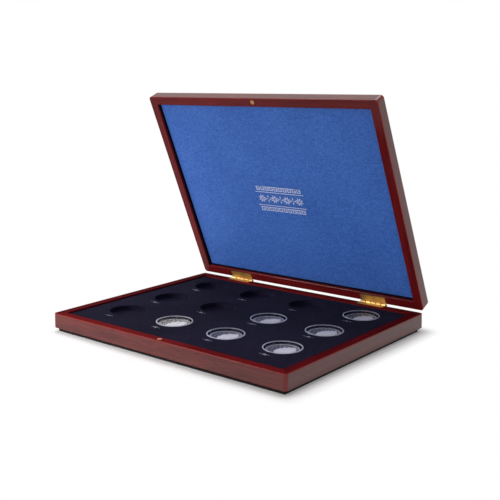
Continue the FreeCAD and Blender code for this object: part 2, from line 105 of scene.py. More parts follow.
@dataclass
class Shell:
    """Vertices and faces gathered patch by patch, then welded into one closed mesh.

    Attributes:
        points: Vertex arrays of the patches, each of shape (n, 3), in metres.
        faces: Face lists, already counted from the first patch's first vertex.
        values: Named number per vertex, for the materials.
        count: How many vertices there are so far.
    """

    points: list[Array] = field(default_factory=list)
    faces: list[list[int]] = field(default_factory=list)
    values: dict[str, list[Array]] = field(default_factory=dict)
    count: int = 0

    def add(self, points: Array, faces: list[list[int]], **values: Array) -> None:
        """Adds one patch.

        Args:
            points: Array of shape (n, 3).
            faces: Faces as vertex numbers within the patch.
            **values: Named arrays of n numbers.
        """
        self.faces += [[self.count + i for i in face] for face in faces]
        self.points.append(np.asarray(points, float))
        for name, numbers in values.items():
            self.values.setdefault(name, []).append(np.asarray(numbers, float))
        self.count += len(points)

    def add_grid(self, grid: Array, wrap: bool = False, **values: Array) -> None:
        """Adds a grid of points joined by quads: cell (i, j) joins rows i, i+1 and columns j, j+1.

        Args:
            grid: Array of shape (rows, columns, 3).
            wrap: True if the last column joins the first.
            **values: Named arrays of shape (rows, columns).
        """
        rows, columns = grid.shape[:2]
        last = columns if wrap else columns - 1
        i, j = np.meshgrid(np.arange(rows - 1), np.arange(last), indexing="ij")
        k = (j + 1) % columns
        quads = np.stack([i * columns + j, i * columns + k, (i + 1) * columns + k, (i + 1) * columns + j], -1)
        flat = {name: np.asarray(numbers).reshape(-1) for name, numbers in values.items()}
        self.add(grid.reshape(-1, 3), quads.reshape(-1, 4).tolist(), **flat)

    def make(self, name: str, weld: float = 0.002 * MM, smooth_below: float = 40.0) -> bpy.types.Object:
        """Welds the patches, turns the faces outwards and makes the object.

        Args:
            name: The piece's name.
            weld: Points nearer than this become one, in metres.
            smooth_below: Edges that turn less than this, in degrees, are shaded smooth.

        Returns:
            The object, at the origin, with its place in its mesh.
        """
        mesh = bpy.data.meshes.new(name)
        mesh.from_pydata(np.concatenate(self.points).tolist(), [], self.faces)
        for label, numbers in self.values.items():
            attribute = mesh.attributes.new(label, "FLOAT", "POINT")
            attribute.data.foreach_set("value", np.concatenate(numbers).astype(np.float32))
        shape = bmesh.new()
        shape.from_mesh(mesh)
        bmesh.ops.remove_doubles(shape, verts=shape.verts, dist=weld)
        bmesh.ops.dissolve_degenerate(shape, edges=shape.edges, dist=weld / 4)
        bmesh.ops.recalc_face_normals(shape, faces=shape.faces)
        shape.to_mesh(mesh)
        shape.free()
        mesh.shade_smooth()
        mesh.set_sharp_from_angle(angle=math.radians(smooth_below))
        return add_object(name, mesh)


def add_object(name: str, data: bpy.types.ID) -> bpy.types.Object:
    """Makes an object and puts it into the scene.

    Args:
        name: The object's name.
        data: Its mesh, curve, lamp or camera.

    Returns:
        The object.
    """
    made = bpy.data.objects.new(name, data)
    bpy.context.scene.collection.objects.link(made)
    return made


def mesh_points(mesh: bpy.types.Mesh) -> Array:
    """Reads where a mesh's vertices lie.

    Args:
        mesh: The mesh.

    Returns:
        Array of shape (n, 3).
    """
    points = np.zeros(len(mesh.vertices) * 3)
    mesh.vertices.foreach_get("co", points)
    return points.reshape(-1, 3)


def lathe(profile: Array, centre: Array, steps: int) -> Array:
    """A profile turned about the upright line through centre.

    The point at step a of corner (r, z) is centre + (r cos a, r sin a, z), with a from 0 to a full turn.

    Args:
        profile: Corners (radius, height) of shape (n, 2), in metres.
        centre: A point on the axis.
        steps: Corners round the circle.

    Returns:
        Grid of shape (n, steps, 3), whose columns wrap round.
    """
    angle = np.linspace(0.0, 2.0 * np.pi, steps, endpoint=False)
    radius, height = profile[:, :1], profile[:, 1:]
    x = centre[0] + radius * np.cos(angle)
    y = centre[1] + radius * np.sin(angle)
    z = centre[2] + height + 0.0 * angle
    return np.stack([x, y, z], -1)


def rounded(corners: list[tuple[float, float, float]], steps: int = 5) -> Array:
    """A half section with rounded corners.

    Each corner with radius r is cut back by r tan(turn / 2) on both of its sides, and a quadratic curve
    (1-t)^2 a + 2t(1-t) corner + t^2 b joins the two cuts, which lies close to the circle at small turns.

    Args:
        corners: Each corner as (radius from the axis, height, rounding), in metres.
        steps: Points along each rounding.

    Returns:
        Array of shape (n, 2).
    """
    spots = np.array([corner[:2] for corner in corners])
    line: list[Array] = []
    for i, (_, _, rounding) in enumerate(corners):
        here = spots[i]
        if rounding <= 0.0 or i in (0, len(corners) - 1):
            line.append(here[None])
            continue
        before = (spots[i - 1] - here) / np.linalg.norm(spots[i - 1] - here)
        after = (spots[i + 1] - here) / np.linalg.norm(spots[i + 1] - here)
        turn = np.pi - math.acos(float(np.clip(before @ after, -1.0, 1.0)))
        cut = rounding * math.tan(turn / 2.0)
        t = np.linspace(0.0, 1.0, steps)[:, None]
        start, end = here + before * cut, here + after * cut
        line.append((1 - t) ** 2 * start + 2 * t * (1 - t) * here + t**2 * end)
    return np.concatenate(line)


def smoothstep(low: float, high: float, x: Array) -> Array:
    """0 below low, 1 above high, and 3t^2 - 2t^3 between them."""
    t = np.clip((x - low) / (high - low), 0.0, 1.0)
    return t * t * (3.0 - 2.0 * t)


def prism(outline: Array, low: Array, high: Array) -> tuple[Array, list[list[int]]]:
    """A flat shape with a thickness.

    Args:
        outline: Corners (x, y) in order, of shape (n, 2).
        low: Height of the lower face under each corner.
        high: Height of the upper face above each corner.

    Returns:
        The 2n points and the faces: the two flat ones and n walls.
    """
    n = len(outline)
    points = np.concatenate([np.column_stack([outline, low]), np.column_stack([outline, high])])
    walls = [[i, (i + 1) % n, n + (i + 1) % n, n + i] for i in range(n)]
    return points, [list(range(n))[::-1], list(range(n, 2 * n)), *walls]


# The frame that the pieces are fitted to


@dataclass
class Case:
    """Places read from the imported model.

    Attributes:
        pivot: A point on the hinge axis.
        open_angle: How far the lid stands open, in radians.
        joints: The record's joints.
    """

    pivot: Array
    open_angle: float
    joints: list[dict]

    @classmethod
    def read(cls, frame: dict) -> "Case":
        hinge = next(joint for joint in frame["joints"] if joint["name"] == "lid_hinge")
        return cls(np.array(hinge["pos_m"], float), -math.radians(hinge["range_deg"][0]), frame["joints"])

    def opened(self, points: Array) -> Array:
        """Points of the shut lid, turned about the hinge to where they lie with the lid open."""
        turn = np.array(Matrix.Rotation(-self.open_angle, 3, "X"))
        return (points - self.pivot) @ turn.T + self.pivot

    def shut(self, points: Array) -> Array:
        """Points of the open lid, turned back to where they lie with the lid shut."""
        turn = np.array(Matrix.Rotation(self.open_angle, 3, "X"))
        return (points - self.pivot) @ turn.T + self.pivot

    def shut_box(self, node: str) -> tuple[Array, Array]:
        """Lowest and highest corner of a lid node with the lid shut."""
        turned = self.shut(mesh_points(bpy.data.objects[node].data))
        return turned.min(0), turned.max(0)

    def home(self) -> Matrix:
        """The move from the open lid to the shut one."""
        middle = Matrix.Translation(self.pivot)
        return middle @ Matrix.Rotation(self.open_angle, 4, "X") @ middle.inverted()

    def limits(self, part: Part) -> Array:
        """Measures one half of the shut case.

        Args:
            part: Which half.

        Returns:
            Half the case's width and depth, the heights of the half's flat face and rim, and the rails' thickness.
        """
        low, high = box("base_front_rail")[0], box("base_right_rail")[1]
        rail = box("base_front_rail")[1][1] - low[1]
        face, rim = 0.0, high[2]
        if part is Part.LID:
            face, rim = self.shut_box("lid_panel")[1][2], self.shut_box("lid_right_rail")[0][2]
        return np.array([high[0], -low[1], face, rim, rail])

    def filled_wells(self) -> list[str]:
        """The numbers of the wells that hold a capsule."""
        return [joint["child"].split("_")[1] for joint in self.joints if joint["name"].endswith("_lift")]


def box(node: str) -> tuple[Array, Array]:
    """Lowest and highest corner of a node at rest, as arrays."""
    low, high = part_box(node)
    return np.array(low), np.array(high)


# Shader groups that several materials share


@dataclass
class Wires:
    """Short ways to add and join nodes in one node tree.

    Attributes:
        tree: The node tree.
    """

    tree: bpy.types.NodeTree

    def node(self, kind: str, **settings: object) -> bpy.types.Node:
        """Adds a node.

        Args:
            kind: Its type.
            **settings: Its properties.

        Returns:
            The node.
        """
        made = self.tree.nodes.new(kind)
        for name, value in settings.items():
            setattr(made, name, value)
        return made

    def feed(self, socket: bpy.types.NodeSocket, value: object) -> None:
        """Joins an output to an input, or sets the input's plain value.

        Args:
            socket: The input.
            value: An output, or the value.
        """
        if isinstance(value, bpy.types.NodeSocket):
            self.tree.links.new(value, socket)
        else:
            socket.default_value = value

    def fill(self, node: bpy.types.Node, **values: object) -> None:
        """Feeds a node's inputs by name. An underscore stands for a space."""
        for name, value in values.items():
            self.feed(node.inputs[name.replace("_", " ")], value)

    def apply(self, kind: str, *inputs: object, **settings: object) -> bpy.types.NodeSocket:
        """Adds a node and feeds its inputs in order.

        Args:
            kind: Its type.
            *inputs: Outputs or plain values.
            **settings: Its settings.

        Returns:
            Its first output.
        """
        made = self.node(kind, **settings)
        for socket, value in zip(made.inputs, inputs):
            self.feed(socket, value)
        return made.outputs[0]

    def math(self, operation: str, a: object, b: object = 0.0, clamp: bool = False) -> bpy.types.NodeSocket:
        """Works out one sum of a and b. With clamp, the result stays between 0 and 1."""
        return self.apply("ShaderNodeMath", a, b, operation=operation, use_clamp=clamp)

    def length(self, a: object, b: object) -> bpy.types.NodeSocket:
        """The square root of a squared plus b squared."""
        return self.math("SQRT", self.math("ADD", self.math("POWER", a, 2.0), self.math("POWER", b, 2.0)))

    def split(self, vector: object) -> list[bpy.types.NodeSocket]:
        """Parts a vector.

        Args:
            vector: The vector.

        Returns:
            Its X, Y and Z.
        """
        made = self.node("ShaderNodeSeparateXYZ")
        self.fill(made, Vector=vector)
        return list(made.outputs)

    def seen(self) -> bpy.types.NodeSocket:
        """Tells sight from lighting.

        Returns:
            1 for what the camera, gloss or glass sees, and 0 for light that falls on the object.
        """
        path = self.node("ShaderNodeLightPath")
        sight = self.math("MAXIMUM", path.outputs["Is Camera Ray"], path.outputs["Is Glossy Ray"])
        return self.math("MAXIMUM", sight, path.outputs["Is Transmission Ray"])

    def noise(self, vector: object, scale: tuple, detail: float = 2.0, rough: float = 0.5) -> bpy.types.NodeSocket:
        """Makes noise on a stretched vector.

        Args:
            vector: Where the noise is read.
            scale: Features to the metre along X, Y and Z.
            detail: How many finer layers it has.
            rough: How strong the finer layers are.

        Returns:
            The noise's value, from 0 to 1.
        """
        stretched = self.apply("ShaderNodeVectorMath", vector, scale, operation="MULTIPLY")
        made = self.node("ShaderNodeTexNoise")
        self.fill(made, Vector=stretched, Scale=1.0, Detail=detail, Roughness=rough)
        return made.outputs["Fac"]

    def between(
        self, value: object, low: float, high: float, to_low: float = 0.0, to_high: float = 1.0,
    ) -> bpy.types.NodeSocket:
        """Maps low to to_low and high to to_high in a straight line, and stops at both."""
        return self.apply("ShaderNodeMapRange", value, low, high, to_low, to_high, clamp=True)

    def mix(self, share: object, a: object, b: object) -> bpy.types.NodeSocket:
        """Mixes two colours.

        Args:
            share: Share of the second colour.
            a: The first colour.
            b: The second colour.

        Returns:
            The mixed colour.
        """
        made = self.node("ShaderNodeMix", data_type="RGBA", clamp_factor=True)
        self.feed(made.inputs["Factor"], share)
        colours = [socket for socket in made.inputs if socket.type == "RGBA"]
        for socket, value in zip(colours, (a, b)):
            self.feed(socket, value if isinstance(value, bpy.types.NodeSocket) else (*value, 1.0))
        return next(socket for socket in made.outputs if socket.type == "RGBA")


@dataclass
class GroupDraft:
    """A shader node group that reads a Vector and plain numbers, and puts out numbers.

    Attributes:
        name: The group's name.
        numbers: Each number that it reads, and its default.
        results: The names of its outputs.
        tree: The group.
        wires: The group's wires.
        read: What the group reads, by name.
    """

    name: str
    numbers: dict[str, float]
    results: tuple[str, ...]
    tree: bpy.types.NodeTree = field(init=False)
    wires: Wires = field(init=False)
    read: bpy.types.bpy_prop_collection = field(init=False)

    def __post_init__(self) -> None:
        """Makes the group with its sockets."""
        self.tree = bpy.data.node_groups.new(self.name, "ShaderNodeTree")
        sockets = self.tree.interface
        sockets.new_socket(name="Vector", in_out="INPUT", socket_type="NodeSocketVector")
        for label, default in self.numbers.items():
            sockets.new_socket(name=label, in_out="INPUT", socket_type="NodeSocketFloat").default_value = default
        for label in self.results:
            sockets.new_socket(name=label, in_out="OUTPUT", socket_type="NodeSocketFloat")
        self.wires = Wires(self.tree)
        self.read = self.tree.nodes.new("NodeGroupInput").outputs

    def finish(self, **results: object) -> bpy.types.NodeTree:
        """Joins the results to the outputs of the same names, and gives the group."""
        self.wires.fill(self.wires.node("NodeGroupOutput"), **results)
        return self.tree


class Groups:
    """The shared shader groups, each built once: outside, grain, nap and handling."""

    def __init__(self) -> None:
        """Builds the four groups."""
        self.outside = self.build_outside()
        self.grain = self.build_grain()
        self.nap = self.build_nap()
        self.handling = self.build_handling()

    def build_outside(self) -> bpy.types.NodeTree:
        """Tells the outside of the shut case, corners and edges included, from its rims and inner faces.

        Beyond the middle of a rounded corner by a along X and b along Y, a place lies R - |(a, b)| inside
        the sides. Its depth is the lesser of that and the distance from the flat face.

        Returns:
            A group with the outputs Outer (1 outside, 0 inside and on the rim), Edge (1 along the rim's outer
            edge and on the upright corners, which are painted a brighter red, partly as wear and partly as a painted
            highlight) and Inner (1 on the deeper part of the walls inside the rails, which is painted dark as painted
            shade).
        """
        numbers = {"Half Width": 0.15, "Half Depth": 0.12, "Face": 1.0, "Rim": 0.0, "Rail": 0.01}
        group = GroupDraft("outer_faces", numbers, ("Outer", "Edge", "Inner"))
        wires, read = group.wires, group.read
        across, along, height = wires.split(read["Vector"])
        insets = [
            wires.math("SUBTRACT", read[label], wires.math("ABSOLUTE", spot))
            for spot, label in ((across, "Half Width"), (along, "Half Depth"))
        ]
        beyond = [wires.math("MAXIMUM", wires.math("SUBTRACT", CORNER_RADIUS, inset), 0.0) for inset in insets]
        side = wires.math("SUBTRACT", CORNER_RADIUS, wires.length(*beyond))
        from_face, from_rim = (
            wires.math("ABSOLUTE", wires.math("SUBTRACT", read[label], height)) for label in ("Face", "Rim")
        )
        shell = wires.between(wires.math("MINIMUM", side, from_face), 0.75 * MM, 0.55 * MM)
        outer = wires.math("MULTIPLY", shell, wires.between(from_rim, 0.0, 0.4 * MM))
        # Brighter red on the upright corners and along the rim's outer brink: partly wear, partly a painted highlight.
        corner = wires.between(wires.math("MINIMUM", *beyond), 0.8 * MM, 1.6 * MM)
        brink = wires.between(from_rim, 1.5 * MM, 0.8 * MM)
        edge = wires.math("MULTIPLY", shell, wires.math("MAXIMUM", corner, brink))
        # Painted shade: marks the deeper part of the walls inside the rails, which the lacquer paints near-black.
        left = wires.math("SUBTRACT", read["Rail"], wires.math("MINIMUM", *insets))
        sunk = wires.between(from_rim, 2.2 * MM, 3.0 * MM)
        sunk = wires.math("MULTIPLY", sunk, wires.between(from_face, 0.5 * MM, 1.0 * MM))
        inner = wires.math("MULTIPLY", sunk, wires.between(left, 0.45 * MM, 0.2 * MM))
        return group.finish(Outer=outer, Edge=edge, Inner=inner)

    def build_grain(self) -> bpy.types.NodeTree:
        """Wood grain that runs along X, as noise stretched along X and bent sideways by a slower noise.

        Returns:
            A group with the outputs Figure (light and dark stripes), Pores (short dark lines) and Height.
        """
        group = GroupDraft("wood_grain", {"Spread": 1.0}, ("Figure", "Pores", "Height"))
        wires, read = group.wires, group.read
        warp = wires.noise(read["Vector"], (9.0, 28.0, 28.0), 2.0)
        shift = (0.0, 0.012, 0.012)
        bent = wires.apply("ShaderNodeVectorMath", warp, shift, read["Vector"], operation="MULTIPLY_ADD")
        broad = wires.noise(bent, (7.0, 120.0, 120.0), 3.0, 0.55)
        fine = wires.noise(bent, (26.0, 620.0, 620.0), 3.0, 0.6)
        figure = wires.math("ADD", wires.math("MULTIPLY", broad, 0.6), wires.math("MULTIPLY", fine, 0.4))
        middle = wires.math("SUBTRACT", figure, 0.5)
        spread = wires.math("MULTIPLY", middle, wires.math("MULTIPLY", read["Spread"], 3.2))
        shown = wires.math("ADD", spread, 0.5, clamp=True)
        pores = wires.between(wires.noise(bent, (90.0, 1700.0, 1700.0), 1.0), 0.60, 0.72)
        height = wires.math("SUBTRACT", wires.math("MULTIPLY", shown, 0.3), pores)
        return group.finish(Figure=shown, Pores=pores, Height=height)

    def build_nap(self) -> bpy.types.NodeTree:
        """Short fibres of a cloth, felt or velvet.

        Returns:
            A group with the outputs Mottle (soft patches), Fibre (fine speckle) and Height.
        """
        group = GroupDraft("cloth_nap", {"Threads": 1.0}, ("Mottle", "Fibre", "Height"))
        wires, read = group.wires, group.read
        scaled = wires.node("ShaderNodeVectorMath", operation="SCALE")
        wires.fill(scaled, Vector=read["Vector"], Scale=read["Threads"])
        vector = scaled.outputs[0]
        across = wires.noise(vector, (260.0, 1100.0, 1100.0), 2.0, 0.6)
        along = wires.noise(vector, (1100.0, 260.0, 260.0), 2.0, 0.6)
        speck = wires.noise(vector, (1500.0, 1500.0, 1500.0), 1.0)
        woven = wires.math("ADD", wires.math("MULTIPLY", across, 0.5), wires.math("MULTIPLY", along, 0.5))
        fibre = wires.math("ADD", wires.math("MULTIPLY", woven, 0.6), wires.math("MULTIPLY", speck, 0.4))
        mottle = wires.noise(read["Vector"], (16.0, 16.0, 16.0), 3.0, 0.6)
        patches, speckle = wires.between(mottle, 0.3, 0.7), wires.between(fibre, 0.38, 0.62)
        return group.finish(Mottle=patches, Fibre=speckle, Height=fibre)

    def build_handling(self) -> bpy.types.NodeTree:
        """Faint smears and hairlines from handling a polished surface.

        Returns:
            A group with the outputs Smear (soft patches) and Hairlines (fine streaks).
        """
        group = GroupDraft("handling", {}, ("Smear", "Hairlines"))
        wires, read = group.wires, group.read
        smear = wires.noise(read["Vector"], (22.0, 34.0, 22.0), 3.0, 0.6)
        hair = wires.noise(read["Vector"], (60.0, 3800.0, 3800.0), 1.0)
        return group.finish(Smear=wires.between(smear, 0.35, 0.75), Hairlines=wires.between(hair, 0.35, 0.65))


def new_material(name: str) -> tuple[bpy.types.Material, Wires, bpy.types.Node]:
    """Makes a material.

    Args:
        name: The material's name.

    Returns:
        The material, its wires and its Principled node.
    """
    material = bpy.data.materials.new(name)
    material.use_nodes = True
    return material, Wires(material.node_tree), material.node_tree.nodes["Principled BSDF"]


def object_vector(wires: Wires, home: Matrix | None = None) -> bpy.types.NodeSocket:
    """Object coordinates, taken to where they lie with the lid shut.

    Args:
        wires: The material's wires.
        home: The move from the open lid to the shut one, or None on the base.

    Returns:
        The coordinates.
    """
    mapping = wires.node("ShaderNodeMapping")
    wires.fill(mapping, Vector=wires.node("ShaderNodeTexCoord").outputs["Object"])
    if home is not None:
        wires.fill(mapping, Rotation=home.to_euler(), Location=home.to_translation())
    return mapping.outputs[0]


def place_group(wires: Wires, tree: bpy.types.NodeTree, vector: object, **values: float) -> bpy.types.Node:
    """Places a shared group in a material.

    Args:
        wires: The material's wires.
        tree: The group.
        vector: The coordinates that it reads.
        **values: Its plain values.

    Returns:
        The group's node.
    """
    made = wires.node("ShaderNodeGroup", node_tree=tree)
    wires.fill(made, Vector=vector, **values)
    return made


def bump(wires: Wires, shader: bpy.types.Node, height: object, depth: float, strength: float = 1.0) -> None:
    """Feeds a height to the shader's normal.

    Args:
        wires: The material's wires.
        shader: The shader.
        height: The height, from 0 to 1.
        depth: What a height of 1 stands for, in metres.
        strength: How much of the slope shows.
    """
    made = wires.node("ShaderNodeBump")
    wires.fill(made, Strength=strength, Distance=depth, Height=height)
    wires.fill(shader, Normal=made.outputs["Normal"])


def show(material: bpy.types.Material, wires: Wires, surface: bpy.types.NodeSocket) -> None:
    """Makes a joined shader the material's surface."""
    wires.fill(material.node_tree.nodes["Material Output"], Surface=surface)


# Finishes


@dataclass(frozen=True)
class Stain:
    """The two colours between which the grain of stained wood moves.

    Attributes:
        dark: Colour of the dark stripes.
        light: Colour of the light stripes.
    """

    dark: Colour
    light: Colour


@dataclass(frozen=True)
class Lacquer:
    """Stained wood: deep red on rims and rounded corners, and brown-red under clear lacquer on flat outer faces,
    whose browner tone is partly a painted reflection of the pale surroundings. The outer edges and upright corners
    are a brighter red, partly wear and partly a painted highlight, and the deeper inner walls are painted dark as
    painted shade.

    Attributes:
        bare: Stain of the rims, corners and inner faces.
        outer: Stain of the outer faces, whose browner, less red tone is partly a painted reflection of the pale
            surroundings.
        worn: Brighter red along the outer edges and upright corners, partly worn stain and partly a painted highlight.
        inside: Near-black colour of the deeper walls inside the rails, which is painted shade.
        pore: Colour of the pores.
        coat: Weight of the clear lacquer on the outer faces.
        rim_coat: Weight of the clear lacquer elsewhere.
        spread: How far apart the light and dark stripes are.
        coat_rough: Roughness of the clear lacquer.
        rough: Roughness of the stained wood where it is clean and where it is handled.
        wear: Share of the brighter edge colour along the edges, partly wear and partly a painted highlight.
        bare_edge: How much of the clear lacquer the edges lose.
        pore_share: Share of the pores' colour.
        grain_depth: Height of the grain in metres.
    """

    bare: Stain = Stain((0.085, 0.0045, 0.0050), (0.185, 0.0110, 0.0125))
    # The outer stain's browner tone is partly a painted reflection of the pale surroundings.
    outer: Stain = Stain((0.082, 0.0110, 0.0100), (0.165, 0.0250, 0.0210))
    # Brighter edge red: partly wear, partly a painted highlight.
    worn: Colour = (0.270, 0.030, 0.028)
    # Painted shade on the deeper walls inside the rails.
    inside: Colour = (0.012, 0.005, 0.008)
    pore: Colour = (0.024, 0.0025, 0.0025)
    coat: float = 0.85
    rim_coat: float = 0.02
    spread: float = 0.85
    coat_rough: float = 0.16
    rough: tuple[float, float] = (0.45, 0.6)
    wear: float = 0.8
    bare_edge: float = 0.5
    pore_share: float = 0.55
    grain_depth: float = 0.02 * MM

    def make(self, name: str, groups: Groups, home: Matrix | None, swing: float, limits: Array) -> bpy.types.Material:
        """Makes the material.

        Args:
            name: The material's name.
            groups: The shared groups.
            home: The move that shuts the lid, or None on the base.
            swing: Turn about Z that brings the grain's direction onto X.
            limits: Half the width and depth of the case, its outer flat face and rim, and the rails' thickness.

        Returns:
            The material.
        """
        material, wires, shader = new_material(name)
        place = object_vector(wires, home)
        along = wires.node("ShaderNodeMapping")
        wires.fill(along, Vector=place, Rotation=(0.0, 0.0, swing))
        vector = along.outputs[0]
        outside = place_group(wires, groups.outside, place)
        for socket, value in zip(outside.inputs[1:], limits):
            socket.default_value = value
        outer, edge, inner = (outside.outputs[label] for label in ("Outer", "Edge", "Inner"))
        grain = place_group(wires, groups.grain, vector, Spread=self.spread)
        handled = place_group(wires, groups.handling, vector)
        bare = wires.mix(grain.outputs["Figure"], self.bare.dark, self.bare.light)
        # The outer faces' browner tone is partly a painted reflection of the pale surroundings.
        lacquered = wires.mix(grain.outputs["Figure"], self.outer.dark, self.outer.light)
        # The edges and upright corners go towards a brighter red: partly wear, partly a painted highlight.
        stained = wires.mix(wires.math("MULTIPLY", edge, self.wear), wires.mix(outer, bare, lacquered), self.worn)
        # Painted shade: the deeper inner walls are mixed towards a near-black colour.
        stained = wires.mix(inner, stained, self.inside)
        pores = wires.math("MULTIPLY", grain.outputs["Pores"], self.pore_share)
        glazed = wires.math("SUBTRACT", outer, wires.math("MULTIPLY", edge, self.bare_edge), clamp=True)
        glazed = wires.math("SUBTRACT", glazed, inner)
        coat = wires.math("ADD", wires.math("MULTIPLY", glazed, self.coat - self.rim_coat), self.rim_coat)
        bump(wires, shader, grain.outputs["Height"], self.grain_depth, 0.5)
        wires.fill(
            shader, Base_Color=wires.mix(pores, stained, self.pore), Specular_IOR_Level=0.0,
            Roughness=wires.between(handled.outputs["Smear"], 0.0, 1.0, *self.rough),
            Coat_Weight=wires.math("MAXIMUM", coat, 0.0), Coat_Roughness=self.coat_rough, Coat_IOR=1.5,
        )
        return material


@dataclass(frozen=True)
class Cloth:
    """A soft covering.

    Attributes:
        deep: Colour between the fibres.
        raised: Colour of the fibres that catch the light.
        sheen: Weight of the sheen.
        sheen_tint: Colour of the sheen.
        sheen_roughness: Roughness of the sheen.
        rough: Roughness of the cloth between the fibres.
        gloss: How much less rough the fibres are that catch the light.
        specular: Specular level of the cloth.
        threads: Scale of the fibres.
        depth: Height of the fibres in metres.
        mottle: How much the patches change the colour.
        pressed: How many times lighter the cloth is where the piece's attribute inside is 1, as painted light that
            lifts the shade inside the wells.
    """

    deep: Colour
    raised: Colour
    sheen: float
    sheen_tint: Colour
    sheen_roughness: float = 0.4
    rough: float = 0.85
    gloss: float = 0.12
    specular: float = 0.2
    threads: float = 1.0
    depth: float = 0.12 * MM
    mottle: float = 0.35
    pressed: float = 1.0

    def make(self, name: str, groups: Groups, home: Matrix | None = None) -> bpy.types.Material:
        """Makes the material.

        Args:
            name: The material's name.
            groups: The shared groups.
            home: The move that shuts the lid, or None on the base.

        Returns:
            The material.
        """
        material, wires, shader = new_material(name)
        nap = place_group(wires, groups.nap, object_vector(wires, home), Threads=self.threads)
        patches = wires.between(nap.outputs["Mottle"], 0.0, 1.0, -self.mottle / 2, self.mottle / 2)
        share = wires.math("ADD", nap.outputs["Fibre"], patches, clamp=True)
        colour = wires.mix(share, self.deep, self.raised)
        # Painted light: where the attribute inside is 1, the velvet of the wells is made lighter to lift their shade.
        if self.pressed != 1.0:
            inside = wires.node("ShaderNodeAttribute", attribute_name="inside").outputs["Fac"]
            lighter = [tuple(channel * self.pressed for channel in tone) for tone in (self.deep, self.raised)]
            colour = wires.mix(inside, colour, wires.mix(share, *lighter))
        bump(wires, shader, nap.outputs["Height"], self.depth)
        wires.fill(
            shader, Base_Color=colour, Specular_IOR_Level=self.specular,
            Roughness=wires.between(share, 0.0, 1.0, self.rough, self.rough - self.gloss),
            Sheen_Weight=self.sheen, Sheen_Roughness=self.sheen_roughness, Sheen_Tint=(*self.sheen_tint, 1.0),
        )
        return material


@dataclass(frozen=True)
class Metal:
    """A polished metal with faint hairlines.

    Attributes:
        bright: Colour where it is clean.
        dull: Colour where it is handled; on the hinges it is also the painted shade at the joints and the leaves'
            edges.
        smooth: Roughness where it is clean.
        worn: Roughness where it is handled.
        metallic: How far it is metal, and not paint or foil.
        hairline_depth: Depth of the hairlines in metres.
    """

    bright: Colour
    dull: Colour
    smooth: float
    worn: float
    metallic: float = 1.0
    hairline_depth: float = 0.004 * MM

    def make(self, name: str, groups: Groups, joints: Array | None = None) -> bpy.types.Material:
        """Makes the material.

        Args:
            name: The material's name.
            groups: The shared groups.
            joints: A hinge's middle, the width of a knuckle, the axis's Y and Z, and a leaf's reach, or None.

        Returns:
            The material.
        """
        material, wires, shader = new_material(name)
        place = object_vector(wires)
        handled = place_group(wires, groups.handling, place)
        share = handled.outputs["Smear"]
        if joints is not None:
            # Painted shade at the hinge's joints and the leaves' edges, in the dull colour.
            share = wires.math("MAXIMUM", share, self.crevices(wires, place, joints))
        bump(wires, shader, handled.outputs["Hairlines"], self.hairline_depth, 0.6)
        wires.fill(
            shader, Base_Color=wires.mix(share, self.bright, self.dull), Metallic=self.metallic,
            Roughness=wires.between(share, 0.0, 1.0, self.smooth, self.worn),
        )
        return material

    def crevices(self, wires: Wires, place: object, joints: Array) -> bpy.types.NodeSocket:
        """Marks painted shade between the knuckles and at the leaves' ends and front edge.

        Along the pin, the distance to the next joint is a ping-pong of the offset over half a knuckle. The
        distance from the pin is sqrt((y - axis)^2 + (z - axis)^2).

        Args:
            wires: The material's wires.
            place: Object coordinates.
            joints: As for make.

        Returns:
            1 at a joint or edge, falling to 0 within 1 mm.
        """
        middle, width, axis_y, axis_z, reach = joints
        x, y, z = wires.split(place)
        offset = wires.math("SUBTRACT", wires.math("ABSOLUTE", x), middle - width / 2)
        near = wires.math("PINGPONG", offset, width / 2)
        joint = wires.between(near, 0.4 * MM, 1.0 * MM, 1.0, 0.0)
        away = wires.length(wires.math("SUBTRACT", y, axis_y), wires.math("SUBTRACT", z, axis_z))
        gap = wires.math("MULTIPLY", joint, wires.between(away, 1.55 * MM, 1.8 * MM, 1.0, 0.0))
        beyond = wires.math("ABSOLUTE", wires.math("SUBTRACT", offset, width / 2))
        end = wires.between(wires.math("SUBTRACT", width * 2.5, beyond), 0.3 * MM, 0.9 * MM, 1.0, 0.0)
        rim = wires.between(away, reach - 1.0 * MM, reach - 0.5 * MM)
        return wires.math("MAXIMUM", gap, wires.math("MAXIMUM", end, rim))


@dataclass(frozen=True)
class ProofSilver:
    """A struck coin: a mirror field and frosted relief, told apart by the attribute frost.

    Attributes:
        field: Colour of the mirror field, kept dark as a painted reflection of the dark surroundings.
        frost: Colour of the frosted relief.
        rough: Roughness of the field and of the relief.
        metallic: How far the field and the relief are metal.
        grit: Height of the frost's grains in metres.
    """

    # Painted reflection: the mirror field's dark colour stands in for the dark surroundings that it reflects.
    field: Colour = (0.036, 0.031, 0.031)
    frost: Colour = (0.62, 0.58, 0.62)
    rough: tuple[float, float] = (0.34, 0.60)
    metallic: tuple[float, float] = (0.12, 0.0)
    grit: float = 0.02 * MM

    def make(self, name: str, groups: Groups) -> bpy.types.Material:
        """Makes the material.

        Args:
            name: The material's name.
            groups: The shared groups.

        Returns:
            The material.
        """
        material, wires, shader = new_material(name)
        frost = wires.node("ShaderNodeAttribute", attribute_name="frost").outputs["Fac"]
        nap = place_group(wires, groups.nap, object_vector(wires), Threads=3.0)
        bump(wires, shader, wires.math("MULTIPLY", nap.outputs["Height"], frost), self.grit)
        wires.fill(
            shader, Base_Color=wires.mix(frost, self.field, self.frost), Specular_IOR_Level=0.1,
            Roughness=wires.between(frost, 0.0, 1.0, *self.rough),
            Metallic=wires.between(frost, 0.0, 1.0, *self.metallic),
        )
        return material


